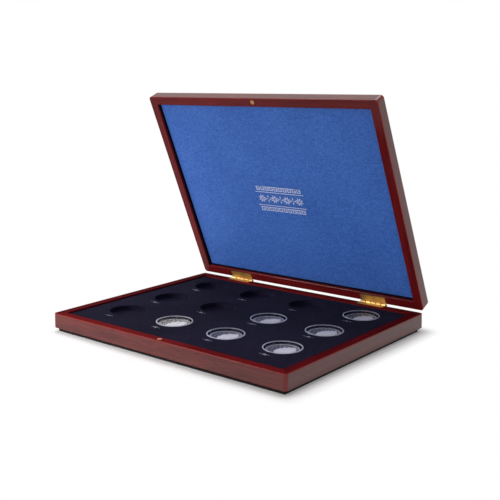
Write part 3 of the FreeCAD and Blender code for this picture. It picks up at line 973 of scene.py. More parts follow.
@dataclass(frozen=True)
class ClearPlastic:
    """Clear moulded acrylic that lets the lamps through.

    Attributes:
        tint: Colour of what passes through.
        rough: Roughness of the surface.
        body: How far it hides what is behind it.
        shade: Colour of the lamps' light behind it.
        bending: How strongly it bends light.
    """

    tint: Colour = (0.97, 0.97, 0.99)
    rough: float = 0.03
    body: float = 0.12
    shade: Colour = (0.96, 0.96, 0.97)
    bending: float = 1.28

    def make(self, name: str) -> bpy.types.Material:
        """Makes the material: glass to sight and reflections, and see-through to lamps.

        Args:
            name: The material's name.

        Returns:
            The material.
        """
        material, wires, shader = new_material(name)
        wires.fill(
            shader, Base_Color=(*self.tint, 1.0), Roughness=self.rough, IOR=self.bending,
            Transmission_Weight=1.0, Alpha=self.body,
        )
        clear = wires.apply("ShaderNodeBsdfTransparent", (*self.shade, 1.0))
        shadow = wires.node("ShaderNodeLightPath").outputs["Is Shadow Ray"]
        show(material, wires, wires.apply("ShaderNodeMixShader", shadow, shader.outputs[0], clear))
        return material


PLAIN_FINISHES: dict[str, Cloth | Metal | ProofSilver] = {
    "black_felt": Cloth((0.006, 0.006, 0.007), (0.022, 0.022, 0.025), 0.25, (0.5, 0.5, 0.55), threads=0.6),
    # The tray's velvet is 1.2 times lighter inside the wells: painted light.
    "tray_velvet": Cloth(
        (0.0055, 0.0048, 0.0120), (0.0145, 0.0125, 0.0285), 0.05, (0.35, 0.36, 0.55),
        sheen_roughness=0.3, rough=0.95, specular=0.02, threads=0.9, depth=0.10 * MM, mottle=0.5, pressed=1.2,
    ),
    "lining_card": Cloth((0.14, 0.14, 0.14), (0.24, 0.24, 0.23), 0.0, (1.0, 1.0, 1.0), threads=0.5, depth=0.03 * MM),
    "screw_brass": Metal((0.62, 0.41, 0.16), (0.36, 0.22, 0.08), 0.36, 0.52, metallic=0.85),
    "magnet_cap": Metal((0.50, 0.28, 0.13), (0.34, 0.18, 0.08), 0.34, 0.5),
    "silver_print": Metal((0.80, 0.84, 0.96), (0.66, 0.71, 0.88), 0.40, 0.55, metallic=0.25),
    "number_print": Metal((0.66, 0.63, 0.68), (0.42, 0.40, 0.45), 0.45, 0.60, metallic=0.2),
    "coin_silver": ProofSilver(),
}


@dataclass
class Finishes:
    """Every material of the case, made once.

    Attributes:
        groups: The shared groups.
        case: The case's places, for the turn of the lid's patterns.
        made: The materials made so far, by name.
    """

    groups: Groups
    case: Case
    made: dict[str, bpy.types.Material] = field(default_factory=dict)

    def wood(self, part: Part, grain: Grain) -> bpy.types.Material:
        """Lacquered mahogany whose grain follows the piece.

        Args:
            part: The half of the case that the piece belongs to.
            grain: Which way its grain runs.

        Returns:
            The material.
        """
        name = f"mahogany_{part.value}_{grain.name.lower()}"
        if name not in self.made:
            finish = Lacquer()
            if part is Part.LID:
                finish = Lacquer(rim_coat=0.3)
            # Painted shade: the base's side rails get a darker stain than its front and back rails.
            elif grain is Grain.ALONG_SIDE:
                finish = Lacquer(bare=Stain((0.060, 0.0030, 0.0040), (0.130, 0.0075, 0.0100)))
            self.made[name] = self.lacquer(name, finish, part, grain)
        return self.made[name]

    def lacquer(
        self, name: str, finish: Lacquer, part: Part, grain: Grain = Grain.ALONG_FRONT,
    ) -> bpy.types.Material:
        """Makes a lacquered finish.

        Args:
            name: The material's name.
            finish: The finish.
            part: The half of the case that it is for.
            grain: Which way the grain runs.

        Returns:
            The material.
        """
        home = self.case.home() if part is Part.LID else None
        swing = math.pi / 2 if grain is Grain.ALONG_SIDE else 0.0
        return finish.make(name, self.groups, home, swing, self.case.limits(part))

    def get(self, name: str) -> bpy.types.Material:
        """One of the other materials: a plain finish, or one that has a method here.

        Args:
            name: Its record slot or piece name.

        Returns:
            The material.
        """
        if name not in self.made:
            plain = PLAIN_FINISHES.get(name)
            self.made[name] = plain.make(name, self.groups) if plain else getattr(self, f"make_{name}")(name)
        return self.made[name]

    def make_lid_top(self, name: str) -> bpy.types.Material:
        """Satin-lacquered mahogany of the lid's panel."""
        return self.lacquer(name, Lacquer(coat=0.20, coat_rough=0.45), Part.LID)

    def make_dark_board(self, name: str) -> bpy.types.Material:
        """Dark stained board under the case."""
        stain = Stain((0.018, 0.009, 0.007), (0.045, 0.022, 0.017))
        return self.lacquer(name, Lacquer(stain, stain, coat=0.1, spread=0.8), Part.BASE)

    def make_lining_cloth(self, name: str) -> bpy.types.Material:
        """Shimmering royal blue cloth of the lid."""
        cloth = Cloth(
            (0.025, 0.083, 0.350), (0.074, 0.205, 0.660), 0.08, (0.35, 0.62, 1.0),
            sheen_roughness=0.35, rough=0.68, specular=0.18, threads=1.0, depth=0.16 * MM, mottle=0.2,
        )
        return cloth.make(name, self.groups, self.case.home())

    def make_hinge_brass(self, name: str) -> bpy.types.Material:
        """Polished brass of the hinges, with painted shade at their joints and the leaves' ends and front edge.

        The joints' places are read from the right hinge, and the left one mirrors it.

        Args:
            name: The material's name.

        Returns:
            The material.
        """
        pin_low, pin_high = box("hinge_right_pin")
        middle, width = (pin_low + pin_high)[0] / 2, (pin_high - pin_low)[0] / KNUCKLES
        reach = self.case.pivot[1] - box("hinge_right_base_leaf")[0][1]
        joints = np.array([middle, width, *self.case.pivot[1:], reach])
        # The dull colour is also the painted shade at the hinge's joints and leaves' edges.
        brass = Metal((0.86, 0.57, 0.20), (0.12, 0.055, 0.018), 0.34, 0.55, metallic=0.85)
        return brass.make(name, self.groups, joints)

    def make_capsule_ring(self, name: str) -> bpy.types.Material:
        """Finely ribbed acrylic of a capsule's ring, which looks milky.

        Args:
            name: The material's name.

        Returns:
            The material.
        """
        material, wires, shader = new_material(name)
        handled = place_group(wires, self.groups.handling, object_vector(wires))
        milky = wires.mix(handled.outputs["Smear"], (0.50, 0.50, 0.56), (0.62, 0.62, 0.68))
        bump(wires, shader, handled.outputs["Hairlines"], Metal.hairline_depth, 0.5)
        wires.fill(shader, Base_Color=milky, Roughness=0.12, Specular_IOR_Level=0.5, Alpha=0.80)
        return material

    def make_capsule_clear(self, name: str) -> bpy.types.Material:
        """Clear acrylic of the capsules."""
        return ClearPlastic().make(name)


def dress(piece: bpy.types.Object, material: bpy.types.Material | None) -> None:
    """Gives a piece one material.

    Args:
        piece: The piece.
        material: The material, or None where it is already dressed.
    """
    if material is not None:
        piece.data.materials.clear()
        piece.data.materials.append(material)


def settle(piece: bpy.types.Object, body: str, slot: str, material: bpy.types.Material | None, *nodes: str) -> None:
    """Dresses a new piece and lets it ride.

    Args:
        piece: The piece.
        body: The body that carries it.
        slot: The record slot of its finish; not used.
        material: Its material, or None where it is already dressed.
        *nodes: The nodes that it stands for.
    """
    dress(piece, material)
    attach(piece, body)
    if nodes:
        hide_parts(*nodes)
    LOG.info("%s rides on %s, %d points", piece.name, body, len(piece.data.vertices))


# Sub-assemblies


@dataclass
class Cabinet:
    """The rails, boards, hinges and magnets, whose shapes come with the frame.

    Attributes:
        finishes: The materials.
        nodes: The frame's nodes by name.
        slots: The record's slot of each node.
    """

    finishes: Finishes
    nodes: dict[str, bpy.types.Object]
    slots: dict[str, str]

    def material_for(self, name: str) -> bpy.types.Material:
        """The material of one node.

        Args:
            name: The node's name.

        Returns:
            The material.
        """
        slot = "lid_top" if name == "lid_panel" else self.slots[name]
        if slot != "mahogany":
            return self.finishes.get(slot)
        part = Part.LID if name.startswith("lid") else Part.BASE
        side = "left" in name or "right" in name
        return self.finishes.wood(part, Grain.ALONG_SIDE if side else Grain.ALONG_FRONT)

    def build(self) -> None:
        """Dresses every node."""
        for name, node in self.nodes.items():
            dress(node, self.material_for(name))
        LOG.info("dressed %d nodes of the frame", len(self.nodes))


@dataclass
class VelvetTray:
    """The velvet-covered tray with its wells and printed numbers. Lengths are in metres.

    Attributes:
        finishes: The materials.
        columns: Wells from left to right.
        rows: Wells from front to back.
        edge: Rounding of the tray's outer edge.
        lip: Rounding of a well's mouth.
        toe: Rounding at the foot of a well's wall.
        dip: How far the velvet is drawn down at a well.
        dip_reach: How far out the dip reaches.
        pleat: Height of the pleats round a well.
        swell: How much the velvet rises and falls over the tray, to either side.
        side_steps: Points along one side of a well's square.
        wall_shares: Shares of a well's wall at which it has rings of points.
        square_shares: Shares of the way from a well's mouth to its square.
        digit_height: Height of the printed digits.
        digit_reach: From a well's middle forward to its number.
        dash: Length and thickness of the dashes beside a number.
        dash_gap: Between a number and a dash.
        foil: Half the thickness of the print.
        low: Lowest corner of the tray and its underlay.
        high: Highest corner of the tray.
        floor: Height of the wells' floors.
        radius: Radius of the wells.
        centres: Middles of the wells, of shape (rows, columns, 2).
    """

    finishes: Finishes
    columns: int = 4
    rows: int = 3
    edge: float = 1.0 * MM
    lip: float = 0.6 * MM
    toe: float = 2.0 * MM
    dip: float = 0.12 * MM
    dip_reach: float = 3.2 * MM
    pleat: float = 0.05 * MM
    swell: float = 0.06 * MM
    side_steps: int = 44
    wall_shares: tuple[float, ...] = (0.35, 0.7)
    square_shares: tuple[float, ...] = (0.03, 0.07, 0.12, 0.2, 0.3, 0.42, 0.55, 0.7, 0.85, 1.0)
    digit_height: float = 3.2 * MM
    digit_reach: float = 28.0 * MM
    dash: tuple[float, float] = (2.6 * MM, 0.3 * MM)
    dash_gap: float = 1.2 * MM
    foil: float = 0.03 * MM
    low: Array = field(init=False)
    high: Array = field(init=False)
    floor: float = field(init=False)
    radius: float = field(init=False)
    centres: Array = field(init=False)

    def __post_init__(self) -> None:
        """Reads the tray's box and its wells from the frame."""
        tray_low, tray_high = box("coin_tray")
        under_low, under_high = box("tray_underlay")
        self.low = np.array([tray_low[0], tray_low[1], under_low[2]])
        self.high = tray_high
        self.floor = float(under_high[2]) + 0.02 * MM
        self.centres, self.radius = self.find_wells()

    def find_wells(self) -> tuple[Array, float]:
        """Finds the wells among the tray's own points.

        Every point inside the tray's outline lies on a well's wall. Sorted along X or Y, the widest gaps
        part them into columns or rows, and the middle of each group's two ends is a centre.

        Returns:
            Centres of shape (rows, columns, 2) and the wells' radius.
        """
        flat = mesh_points(bpy.data.objects["coin_tray"].data)[:, :2]
        low, high = flat.min(0), flat.max(0)
        inner = flat[np.all((flat > low + 2 * MM) & (flat < high - 2 * MM), axis=1)]
        lowest, highest = inner.min(0), inner.max(0)
        spans = []
        for axis, count in ((0, self.columns), (1, self.rows)):
            ordered = np.sort(np.unique(np.round(inner[:, axis], 6)))
            gaps = np.argsort(np.diff(ordered))[-(count - 1):]
            ends = np.sort(np.concatenate([[lowest[axis], highest[axis]], ordered[gaps], ordered[gaps + 1]]))
            spans.append((ends[0::2] + ends[1::2]) / 2)
        return np.stack(np.meshgrid(*spans), -1), float(spans[0][0] - lowest[0])

    def surface(self, x: Array, y: Array) -> Array:
        """Height of the velvet between the wells.

        It is the tray's top less swell (1 + sin(61 x + 1.3) cos(47 y + 0.4)). At each well it is less
        dip exp(-(d / reach)^2) and less pleat cos(9 a + 40 c) exp(-d / reach), where d is the distance out
        from the well's wall, a the angle round it and c its middle's place across the tray.

        Args:
            x: Places across the tray.
            y: Places along the tray.

        Returns:
            Heights.
        """
        height = self.high[2] - self.swell * (1.0 + np.sin(61.0 * x + 1.3) * np.cos(47.0 * y + 0.4))
        for cx, cy in self.centres.reshape(-1, 2):
            out = np.maximum(np.hypot(x - cx, y - cy) - self.radius, 0.0)
            angle = np.arctan2(y - cy, x - cx)
            height = height - self.dip * np.exp(-((out / self.dip_reach) ** 2))
            height = height - self.pleat * np.cos(9.0 * angle + 40.0 * cx) * np.exp(-out / self.dip_reach)
        return height

    def well(self, shell: Shell, centre: Array, low: Array, high: Array) -> None:
        """Adds one well with the square of velvet round it.

        Round the well, step s goes once round the circle and once round the square. Outwards, the rings go
        over the floor, up the wall, over the lip, and then by (1 - w) circle + w square to the square's side.

        Args:
            shell: Where the patch goes.
            centre: The well's middle.
            low: Lowest corner of its square.
            high: Highest corner of its square.
        """
        share = np.arange(self.side_steps) / self.side_steps
        square = np.column_stack([
            self.run((low[0], high[0], high[0], low[0], low[0])), self.run((low[1], low[1], high[1], high[1], low[1])),
        ])
        angle = np.radians(225.0) + np.pi / 2 * np.concatenate([share + side for side in range(4)])
        ray = np.stack([np.cos(angle), np.sin(angle)], -1)
        mouth = self.radius + self.lip
        section = rounded([
            (0.0, 0.0, 0.0), (self.radius * 0.5, 0.0, 0.0), (self.radius * 0.8, 0.0, 0.0), (self.radius, 0.0, self.toe),
            (self.radius, 1.0, 0.0),
        ])[:-1]
        rings = [np.column_stack([centre + r * ray, np.full(len(ray), self.floor + z)]) for r, z in section]
        wall_top = self.surface(*(centre + self.radius * ray).T) - self.lip
        wall_low = self.floor + self.toe
        for t in self.wall_shares:
            rings.append(np.column_stack([centre + self.radius * ray, wall_low + t * (wall_top - wall_low)]))
        for a in np.linspace(0.0, np.pi / 2, 7):
            spot = centre + (mouth - self.lip * math.cos(a)) * ray
            rings.append(np.column_stack([spot, self.surface(*spot.T) - self.lip * (1.0 - math.sin(a))]))
        for w in self.square_shares:
            spot = (1 - w) * (centre + mouth * ray) + w * square
            rings.append(np.column_stack([spot, self.surface(*spot.T)]))
        grid = np.stack(rings)
        # Marks the sunk velvet of the wells, which the material lightens as painted light.
        inside = np.clip((self.high[2] - 0.4 * MM - grid[..., 2]) / (0.6 * MM), 0.0, 1.0)
        shell.add_grid(grid, wrap=True, inside=inside)

    def run(self, stops: Array | tuple[float, ...]) -> Array:
        """Even steps from each stop to the next, without the last stop."""
        share = np.arange(self.side_steps) / self.side_steps
        return np.concatenate([(1 - share) * a + share * b for a, b in zip(stops, stops[1:])])

    def outline(self, xs: Array, ys: Array) -> tuple[Array, Array]:
        """The tray's edge as points and the outward way at each, in order.

        Args:
            xs: Lines between the columns of wells, with both ends.
            ys: Lines between the rows of wells, with both ends.

        Returns:
            Points of shape (n, 2) and outward ways of shape (n, 2).
        """
        front, side = self.run(xs), self.run(ys)
        back, left = self.run(xs[::-1]), self.run(ys[::-1])
        points = np.concatenate([
            np.column_stack([front, np.full(len(front), ys[0])]),
            np.column_stack([np.full(len(side), xs[-1]), side]),
            np.column_stack([back, np.full(len(back), ys[-1])]),
            np.column_stack([np.full(len(left), xs[0]), left]),
        ])
        ways = np.zeros_like(points)
        ways[:, 0] = (points[:, 0] == xs[-1]) * 1.0 - (points[:, 0] == xs[0]) * 1.0
        ways[:, 1] = (points[:, 1] == ys[-1]) * 1.0 - (points[:, 1] == ys[0]) * 1.0
        return points, ways

    def cushion(self) -> bpy.types.Object:
        """Makes the tray as one closed surface with all of its wells.

        The edge turns down by a quarter circle, so at the angle a it lies edge sin a further out and
        edge (1 - cos a) lower. Then it goes straight down to the underlay's foot.

        Returns:
            The piece.
        """
        shell = Shell()
        low, high = self.low[:2] + self.edge, self.high[:2] - self.edge
        middles_x = (self.centres[0, :-1, 0] + self.centres[0, 1:, 0]) / 2
        middles_y = (self.centres[:-1, 0, 1] + self.centres[1:, 0, 1]) / 2
        xs = np.concatenate([[low[0]], middles_x, [high[0]]])
        ys = np.concatenate([[low[1]], middles_y, [high[1]]])
        for row in range(self.rows):
            for column in range(self.columns):
                corner = np.array([xs[column], ys[row]])
                opposite = np.array([xs[column + 1], ys[row + 1]])
                self.well(shell, self.centres[row, column], corner, opposite)
        points, ways = self.outline(xs, ys)
        top = self.surface(*points.T)
        rings = []
        for a in np.linspace(0.0, np.pi / 2, 5):
            spot = points + ways * self.edge * math.sin(a)
            rings.append(np.column_stack([spot, top - self.edge * (1.0 - math.cos(a))]))
        rings.append(np.column_stack([points + ways * self.edge, np.full(len(points), self.low[2])]))
        rim = np.stack(rings)
        shell.add_grid(rim, wrap=True, inside=np.zeros(rim.shape[:2]))
        shell.add(rings[-1], [list(range(len(points)))], inside=np.zeros(len(points)))
        return shell.make("velvet_tray", smooth_below=60.0)

    def numbers(self) -> bpy.types.Object:
        """Prints the number in front of each well, between two dashes.

        The print is foil that follows the velvet's height at each of its points.

        Returns:
            The piece.
        """
        shell = Shell()
        for number, (x, y) in enumerate(self.centres.reshape(-1, 2), start=1):
            spot = np.array([x, y - self.digit_reach])
            outline, faces = flat_text(f"{number:02d}", self.digit_height)
            flat = outline + spot - (outline.max(0) + outline.min(0)) / 2
            level = self.surface(*flat.T)
            shell.add(np.column_stack([flat, level + self.foil]), faces)
            shell.add(np.column_stack([flat, level - self.foil]), [face[::-1] for face in faces])
            beside = (float(np.ptp(outline[:, 0])) + self.dash[0]) / 2 + self.dash_gap
            for side in (-beside, beside):
                bar = UNIT_SQUARE * self.dash + spot + [side, 0.0]
                level = self.surface(*bar.T)
                shell.add(*prism(bar, level - self.foil, level + self.foil))
        return shell.make("well_numbers")

    def build(self) -> None:
        """Makes the tray and its numbers."""
        velvet = self.finishes.get("tray_velvet")
        settle(self.cushion(), "base", "tray_velvet", velvet, "coin_tray", "tray_underlay")
        settle(self.numbers(), "base", "coin_silver", self.finishes.get("number_print"))


def flat_text(text: str, height: float) -> tuple[Array, list[list[int]]]:
    """Plain text as a flat mesh.

    Args:
        text: What it says.
        height: Height of a digit, in metres.

    Returns:
        Points of shape (n, 2) and faces.
    """
    curve = bpy.data.curves.new("text", "FONT")
    curve.body = text
    curve.resolution_u = 3
    writer = add_object("text", curve)
    bpy.context.view_layer.update()
    mesh = bpy.data.meshes.new_from_object(writer.evaluated_get(bpy.context.evaluated_depsgraph_get()))
    flat = mesh_points(mesh)[:, :2]
    faces = [list(face.vertices) for face in mesh.polygons]
    bpy.data.objects.remove(writer)
    bpy.data.curves.remove(curve)
    bpy.data.meshes.remove(mesh)
    return flat * (height / float(np.ptp(flat[:, 1]))), faces


@dataclass
class LidLining:
    """The padded lining of the lid and the silver ornament printed on it. Lengths are in metres.

    Attributes:
        finishes: The materials.
        case: The case's places.
        soft: Rounding of the pad's edge.
        swell: How much the pad's face rises and falls.
        cells: Steps of the face along each side.
        foil: Half the thickness of the print.
        print_place: Middle of the ornament.
        low: Lowest corner of the lining, with the lid shut.
        high: Highest corner of the lining, with the lid shut.
    """

    finishes: Finishes
    case: Case
    soft: float = 1.9 * MM
    swell: float = 0.10 * MM
    cells: tuple[int, int] = (150, 120)
    foil: float = 0.04 * MM
    print_place: tuple[float, float] = (-1.5 * MM, 5.0 * MM)
    low: Array = field(init=False)
    high: Array = field(init=False)

    def __post_init__(self) -> None:
        """Reads the lining's box, with the lid shut."""
        self.low, self.high = self.case.shut_box("lid_lining")

    def face(self, x: Array, y: Array) -> Array:
        """Height of the lining's face with the lid shut, which looks down.

        From the level of the face it rises by soft (1 - sqrt(1 - q^2)) near an edge, where q goes from 0 at
        the distance soft to 1 at the edge. Further in it also rises by swell / 2 times
        1 + sin(31 x + 0.9) cos(39 y - 0.5).

        Args:
            x: Places across the lid.
            y: Places along the lid.

        Returns:
            Heights.
        """
        inset_x = np.minimum(x - self.low[0], self.high[0] - x)
        inset_y = np.minimum(y - self.low[1], self.high[1] - y)
        q = np.clip(1.0 - np.minimum(inset_x, inset_y) / self.soft, 0.0, 1.0)
        wave = np.sin(31.0 * x + 0.9) * np.cos(39.0 * y - 0.5)
        tuck = self.soft * (1.0 - np.sqrt(np.clip(1.0 - q**2, 0.0, 1.0)))
        return self.low[2] + self.swell * (0.5 + 0.5 * wave) * (1.0 - q) + tuck

    def stops(self, axis: int) -> Array:
        """Places of the pad's points along one side, which are closer together in the rounding at both ends.

        Args:
            axis: 0 across the lid, or 1 along it.

        Returns:
            The places, from low to high.
        """
        low, high = self.low[axis], self.high[axis]
        edge = self.soft * (1.0 - np.cos(np.linspace(0.0, np.pi / 2, 8)))[:-1]
        inner = np.linspace(low + self.soft, high - self.soft, self.cells[axis])
        return np.concatenate([low + edge, inner, high - edge[::-1]])

    def pad(self) -> bpy.types.Object:
        """Makes the padded lining: its face, a flat back and straight walls between their edges.

        Returns:
            The piece.
        """
        gx, gy = np.meshgrid(self.stops(0), self.stops(1), indexing="ij")
        front = np.stack([gx, gy, self.face(gx, gy)], -1)
        back = np.stack([gx, gy, np.full_like(gx, self.high[2])], -1)
        shell = Shell()
        shell.add_grid(self.case.opened(front))
        edge_front, edge_back = (
            np.concatenate([grid[:, 0], grid[-1, 1:], grid[-2::-1, -1], grid[0, -2:0:-1]]) for grid in (front, back)
        )
        shell.add_grid(self.case.opened(np.stack([edge_front, edge_back])), wrap=True)
        shell.add(self.case.opened(edge_back), [list(range(len(edge_back)))])
        return shell.make("lining_pad", smooth_below=50.0)

    def stamp(self, shell: Shell, outline: Array) -> None:
        """Adds a flat piece of foil that lies on the lining.

        Args:
            shell: Where it goes.
            outline: Its corners about the ornament's middle, of shape (n, 2), in millimetres.
        """
        spot = outline * MM + self.print_place
        level = self.face(*spot.T)
        points, faces = prism(spot, level - self.foil, level + self.foil)
        shell.add(self.case.opened(points), faces)

    def bar(self, shell: Shell, x0: float, y0: float, x1: float, y1: float) -> None:
        """Stamps the bar with the corners (x0, y0) and (x1, y1)."""
        self.stamp(shell, np.array([[x0, y0], [x1, y0], [x1, y1], [x0, y1]]))

    def star(self, shell: Shell, x: float, count: int, reach: float, wide: float) -> None:
        """Stamps petals round a middle, each a kite with its widest place at 0.55 of its reach.

        Args:
            shell: Where they go.
            x: The star's middle.
            count: How many petals it has. Eight stand half a step off the sides, and four stand square.
            reach: How far a petal reaches.
            wide: Half its width.
        """
        kite = ((KITE_TIP, 0.0), (0.55 * reach, -wide), (reach, 0.0), (0.55 * reach, wide))
        for turn in (np.arange(count) + (0.5 if count == 8 else 0.0)) * 2 * np.pi / count:
            way, over = np.array([math.cos(turn), math.sin(turn)]), np.array([-math.sin(turn), math.cos(turn)])
            self.stamp(shell, np.array([[x, 0.0] + a * way + b * over for a, b in kite]))

    def ornament(self) -> bpy.types.Object:
        """Makes two thin rules with a row of stars between them and a key pattern outside each.

        Returns:
            The piece. Its numbers are places about the ornament's middle, in millimetres.
        """
        shell = Shell()
        for side in (-1, 1):
            self.bar(shell, -33.0, side * 8.6 - 0.35, 33.0, side * 8.6 + 0.35)
            for unit in range(10):
                for x0, y0, x1, y1 in KEY_BARS:
                    x, y = (unit - 5) * KEY_PITCH, side * 13.4
                    self.bar(shell, x + x0, y + y0, x + x1, y + y1)
        for place in (-25.5, -8.5, 8.5, 25.5):
            self.star(shell, place, 8, 5.6, 0.75)
        for place in (-17.0, 0.0, 17.0):
            self.star(shell, place, 4, 5.0, 0.7)
        return shell.make("lid_ornament")

    def build(self) -> None:
        """Makes the pad and its ornament."""
        pad = self.pad()
        settle(pad, "lid", "lining_cloth", self.finishes.get("lining_cloth"), "lid_lining")
        settle(self.ornament(), "lid", "coin_silver", self.finishes.get("silver_print"))


@dataclass
class Capsule:
    """A clear capsule in one well: two shells and the coin between them. Lengths are in metres.

    Attributes:
        finishes: The materials.
        well: The well's number, as two digits.
        petals: Half the ribs of the coin's fan.
        facing: Turn of the coin's design.
        steps: Corners round the shells.
        window: Thickness of the upper window.
        relief_depth: Depth of the coin's relief.
        coin_steps: Corners round the coin.
        coin_bevel: Height of the bevel at the coin's edge.
        reeding: Depth of the coin's reeds, as a share of its radius.
    """

    finishes: Finishes
    well: str
    petals: int
    facing: float = math.radians(72.0)
    steps: int = 144
    window: float = 1.0 * MM
    relief_depth: float = 0.28 * MM
    coin_steps: int = 288
    coin_bevel: float = 0.12 * MM
    reeding: float = 0.004

    def section(self, node: str) -> tuple[Array, Array]:
        """The half section of a turned node, read from its own points.

        Args:
            node: The node's name.

        Returns:
            Its sorted radii and heights above its lowest point.
        """
        low, high = box(node)
        out = mesh_points(bpy.data.objects[node].data) - [*((low + high) / 2)[:2], low[2]]
        return np.unique(np.round(np.hypot(out[:, 0], out[:, 1]), 5)), np.unique(np.round(out[:, 2], 5))

    def lower(self) -> bpy.types.Object:
        """Makes the lower shell: a shallow dish with rounded edges.

        Returns:
            The piece.
        """
        node = f"capsule_{self.well}_lower"
        low, high = box(node)
        radii, heights = self.section(node)
        outside, bore = float(radii[-1]), float(radii[-2])
        wall_top, floor = float(heights[-1]), float(heights[1])
        line = rounded([
            (0.0, 0.0, 0.0), (outside, 0.0, 0.6 * MM), (outside, wall_top, 0.2 * MM), (bore, wall_top, 0.2 * MM),
            (bore, floor, 0.3 * MM), (0.0, floor, 0.0),
        ])
        shell = Shell()
        shell.add_grid(lathe(line, np.array([*((low + high) / 2)[:2], low[2]]), self.steps), wrap=True)
        return shell.make(f"clear_base_{self.well}")

    def upper(self) -> bpy.types.Object:
        """Makes the upper shell: a window let down inside a raised ring, and a skirt round the coin.

        Returns:
            The piece, with the ring's top in a milky finish.
        """
        node = f"capsule_{self.well}_upper"
        low, high = box(node)
        radii, heights = self.section(node)
        bore, ring, skirt, outside = (float(radii[place]) for place in (1, 2, -2, -1))
        brim = float(box(f"capsule_{self.well}_lower")[1][2] - low[2]) + 0.1 * MM
        top, window = float(heights[-1]), float(heights[-2])
        window_low = window - self.window
        line = rounded([
            (0.0, window_low, 0.0), (bore, window_low, 0.1 * MM), (bore, 0.0, 0.1 * MM), (skirt, 0.0, 0.2 * MM),
            (skirt, brim, 0.1 * MM), (outside, brim, 0.15 * MM), (outside, top, 0.45 * MM), (ring, top, 0.35 * MM),
            (bore, window, 0.35 * MM), (0.0, window, 0.0),
        ])
        shell = Shell()
        shell.add_grid(lathe(line, np.array([*((low + high) / 2)[:2], low[2]]), self.steps), wrap=True)
        piece = shell.make(f"clear_top_{self.well}")
        middles = np.zeros(len(piece.data.polygons) * 3)
        piece.data.polygons.foreach_get("center", middles)
        middles = middles.reshape(-1, 3)
        out = np.hypot(*(middles[:, :2] - ((low + high) / 2)[:2]).T)
        rim = (out > ring - 0.05 * MM) & (out < outside - 0.02 * MM) & (middles[:, 2] > low[2] + window - 0.1 * MM)
        piece.data.materials.append(self.finishes.get("capsule_clear"))
        piece.data.materials.append(self.finishes.get("capsule_ring"))
        piece.data.polygons.foreach_set("material_index", np.array(rim, np.int32))
        return piece

    def relief(self, share: Array, angle: Array) -> tuple[Array, Array]:
        """The coin's design: a ribbed fan over an open field with stars, inside a beaded rim.

        Places u across and v up the coin are shares of its radius. The fan spreads from the foot (0, -0.62).
        At the distance d and the angle t about the foot it reaches out to 0.86 + 0.10 |cos(n t)|, and it
        rises to 0.42 + 0.38 sqrt(|cos(n t)|). The ground lies below v = -0.52. Five stars stand on an arc
        of 0.66 about the middle, and each reaches out to 0.052 + 0.026 cos(6 b) at the angle b about its own
        middle. A plain ring lies at 0.845 and a ring of 90 beads at 0.895.

        Args:
            share: Share of the radius, from 0 to 1.
            angle: Angle round the coin.

        Returns:
            Height from 0 to 1, and frost from 0 to 1.
        """
        u, v = share * np.cos(angle), share * np.sin(angle)
        foot = np.hypot(u, v + 0.62)
        turn = np.arctan2(u, v + 0.62)
        ribs = np.abs(np.cos(self.petals * turn))
        fan = smoothstep(0.0, 0.04, 0.86 + 0.10 * ribs - foot) * smoothstep(1.42, 1.36, np.abs(turn))
        ground = smoothstep(0.0, 0.03, -0.52 - v)
        inside = smoothstep(0.0, 0.03, 0.80 - share)
        shell = np.maximum(fan * (0.42 + 0.38 * np.sqrt(ribs) * smoothstep(0.1, 0.5, foot)), 0.85 * ground) * inside
        stars = np.zeros_like(u)
        for k in range(5):
            at = math.radians(90.0 + 24.0 * (k - 2))
            du, dv = u - 0.66 * math.cos(at), v - 0.66 * math.sin(at)
            edge = 0.052 + 0.026 * np.cos(6.0 * np.arctan2(dv, du))
            stars = np.maximum(stars, smoothstep(0.0, 0.02, edge - np.hypot(du, dv)))
        ring = np.exp(-(((share - 0.845) / 0.010) ** 2)) * 0.5
        beads = np.exp(-(((share - 0.895) / 0.014) ** 2)) * np.clip(np.cos(90.0 * angle), 0.0, 1.0) * 0.8
        rim = smoothstep(0.925, 0.94, share)
        height = np.maximum.reduce([shell, 0.6 * stars, ring, beads, rim])
        frost = np.clip(np.maximum(fan, ground) * inside + stars + 0.8 * rim + beads + ring, 0.0, 1.0)
        return height, frost

    def coin(self) -> bpy.types.Object:
        """Makes the coin, with relief on both faces and a reeded edge.

        Returns:
            The piece.
        """
        low, high = box(f"coin_{self.well}")
        centre, radius = (low + high)[:2] / 2, float(high[0] - low[0]) / 2
        share = np.concatenate([np.linspace(0.0, 0.55, 22), np.linspace(0.565, 0.99, 42)])
        angle = np.linspace(0.0, 2 * np.pi, self.coin_steps, endpoint=False)
        s, a = np.meshgrid(share, angle, indexing="ij")
        ray = np.stack([np.cos(a), np.sin(a)], -1)
        shell = Shell()
        for side, level in ((1.0, high[2]), (-1.0, low[2])):
            height, frost = self.relief(s, side * (a - self.facing))
            z = level - side * self.relief_depth * (1.0 - height)
            shell.add_grid(np.dstack([centre + radius * s[..., None] * ray, z]), wrap=True, frost=frost)
        brim = np.full(self.coin_steps, share[-1] * radius)
        reed = radius * (1.0 - self.reeding * (np.arange(self.coin_steps) % 2))
        reach = np.stack([brim, reed, reed, brim])
        level = np.array([high[2], high[2] - self.coin_bevel, low[2] + self.coin_bevel, low[2]])
        rim = np.dstack([centre + reach[..., None] * ray[0], np.tile(level[:, None], self.coin_steps)])
        shell.add_grid(rim, wrap=True, frost=np.full(reach.shape, 0.4))
        return shell.make(f"struck_coin_{self.well}", smooth_below=30.0)

    def build(self) -> None:
        """Makes the shells and the coin."""
        clear, silver = self.finishes.get("capsule_clear"), self.finishes.get("coin_silver")
        body = f"capsule_{self.well}"
        settle(self.lower(), body, "capsule_clear", clear, f"capsule_{self.well}_lower")
        settle(self.upper(), f"{body}_top", "capsule_clear", None, f"capsule_{self.well}_upper")
        settle(self.coin(), body, "coin_silver", silver, f"coin_{self.well}")


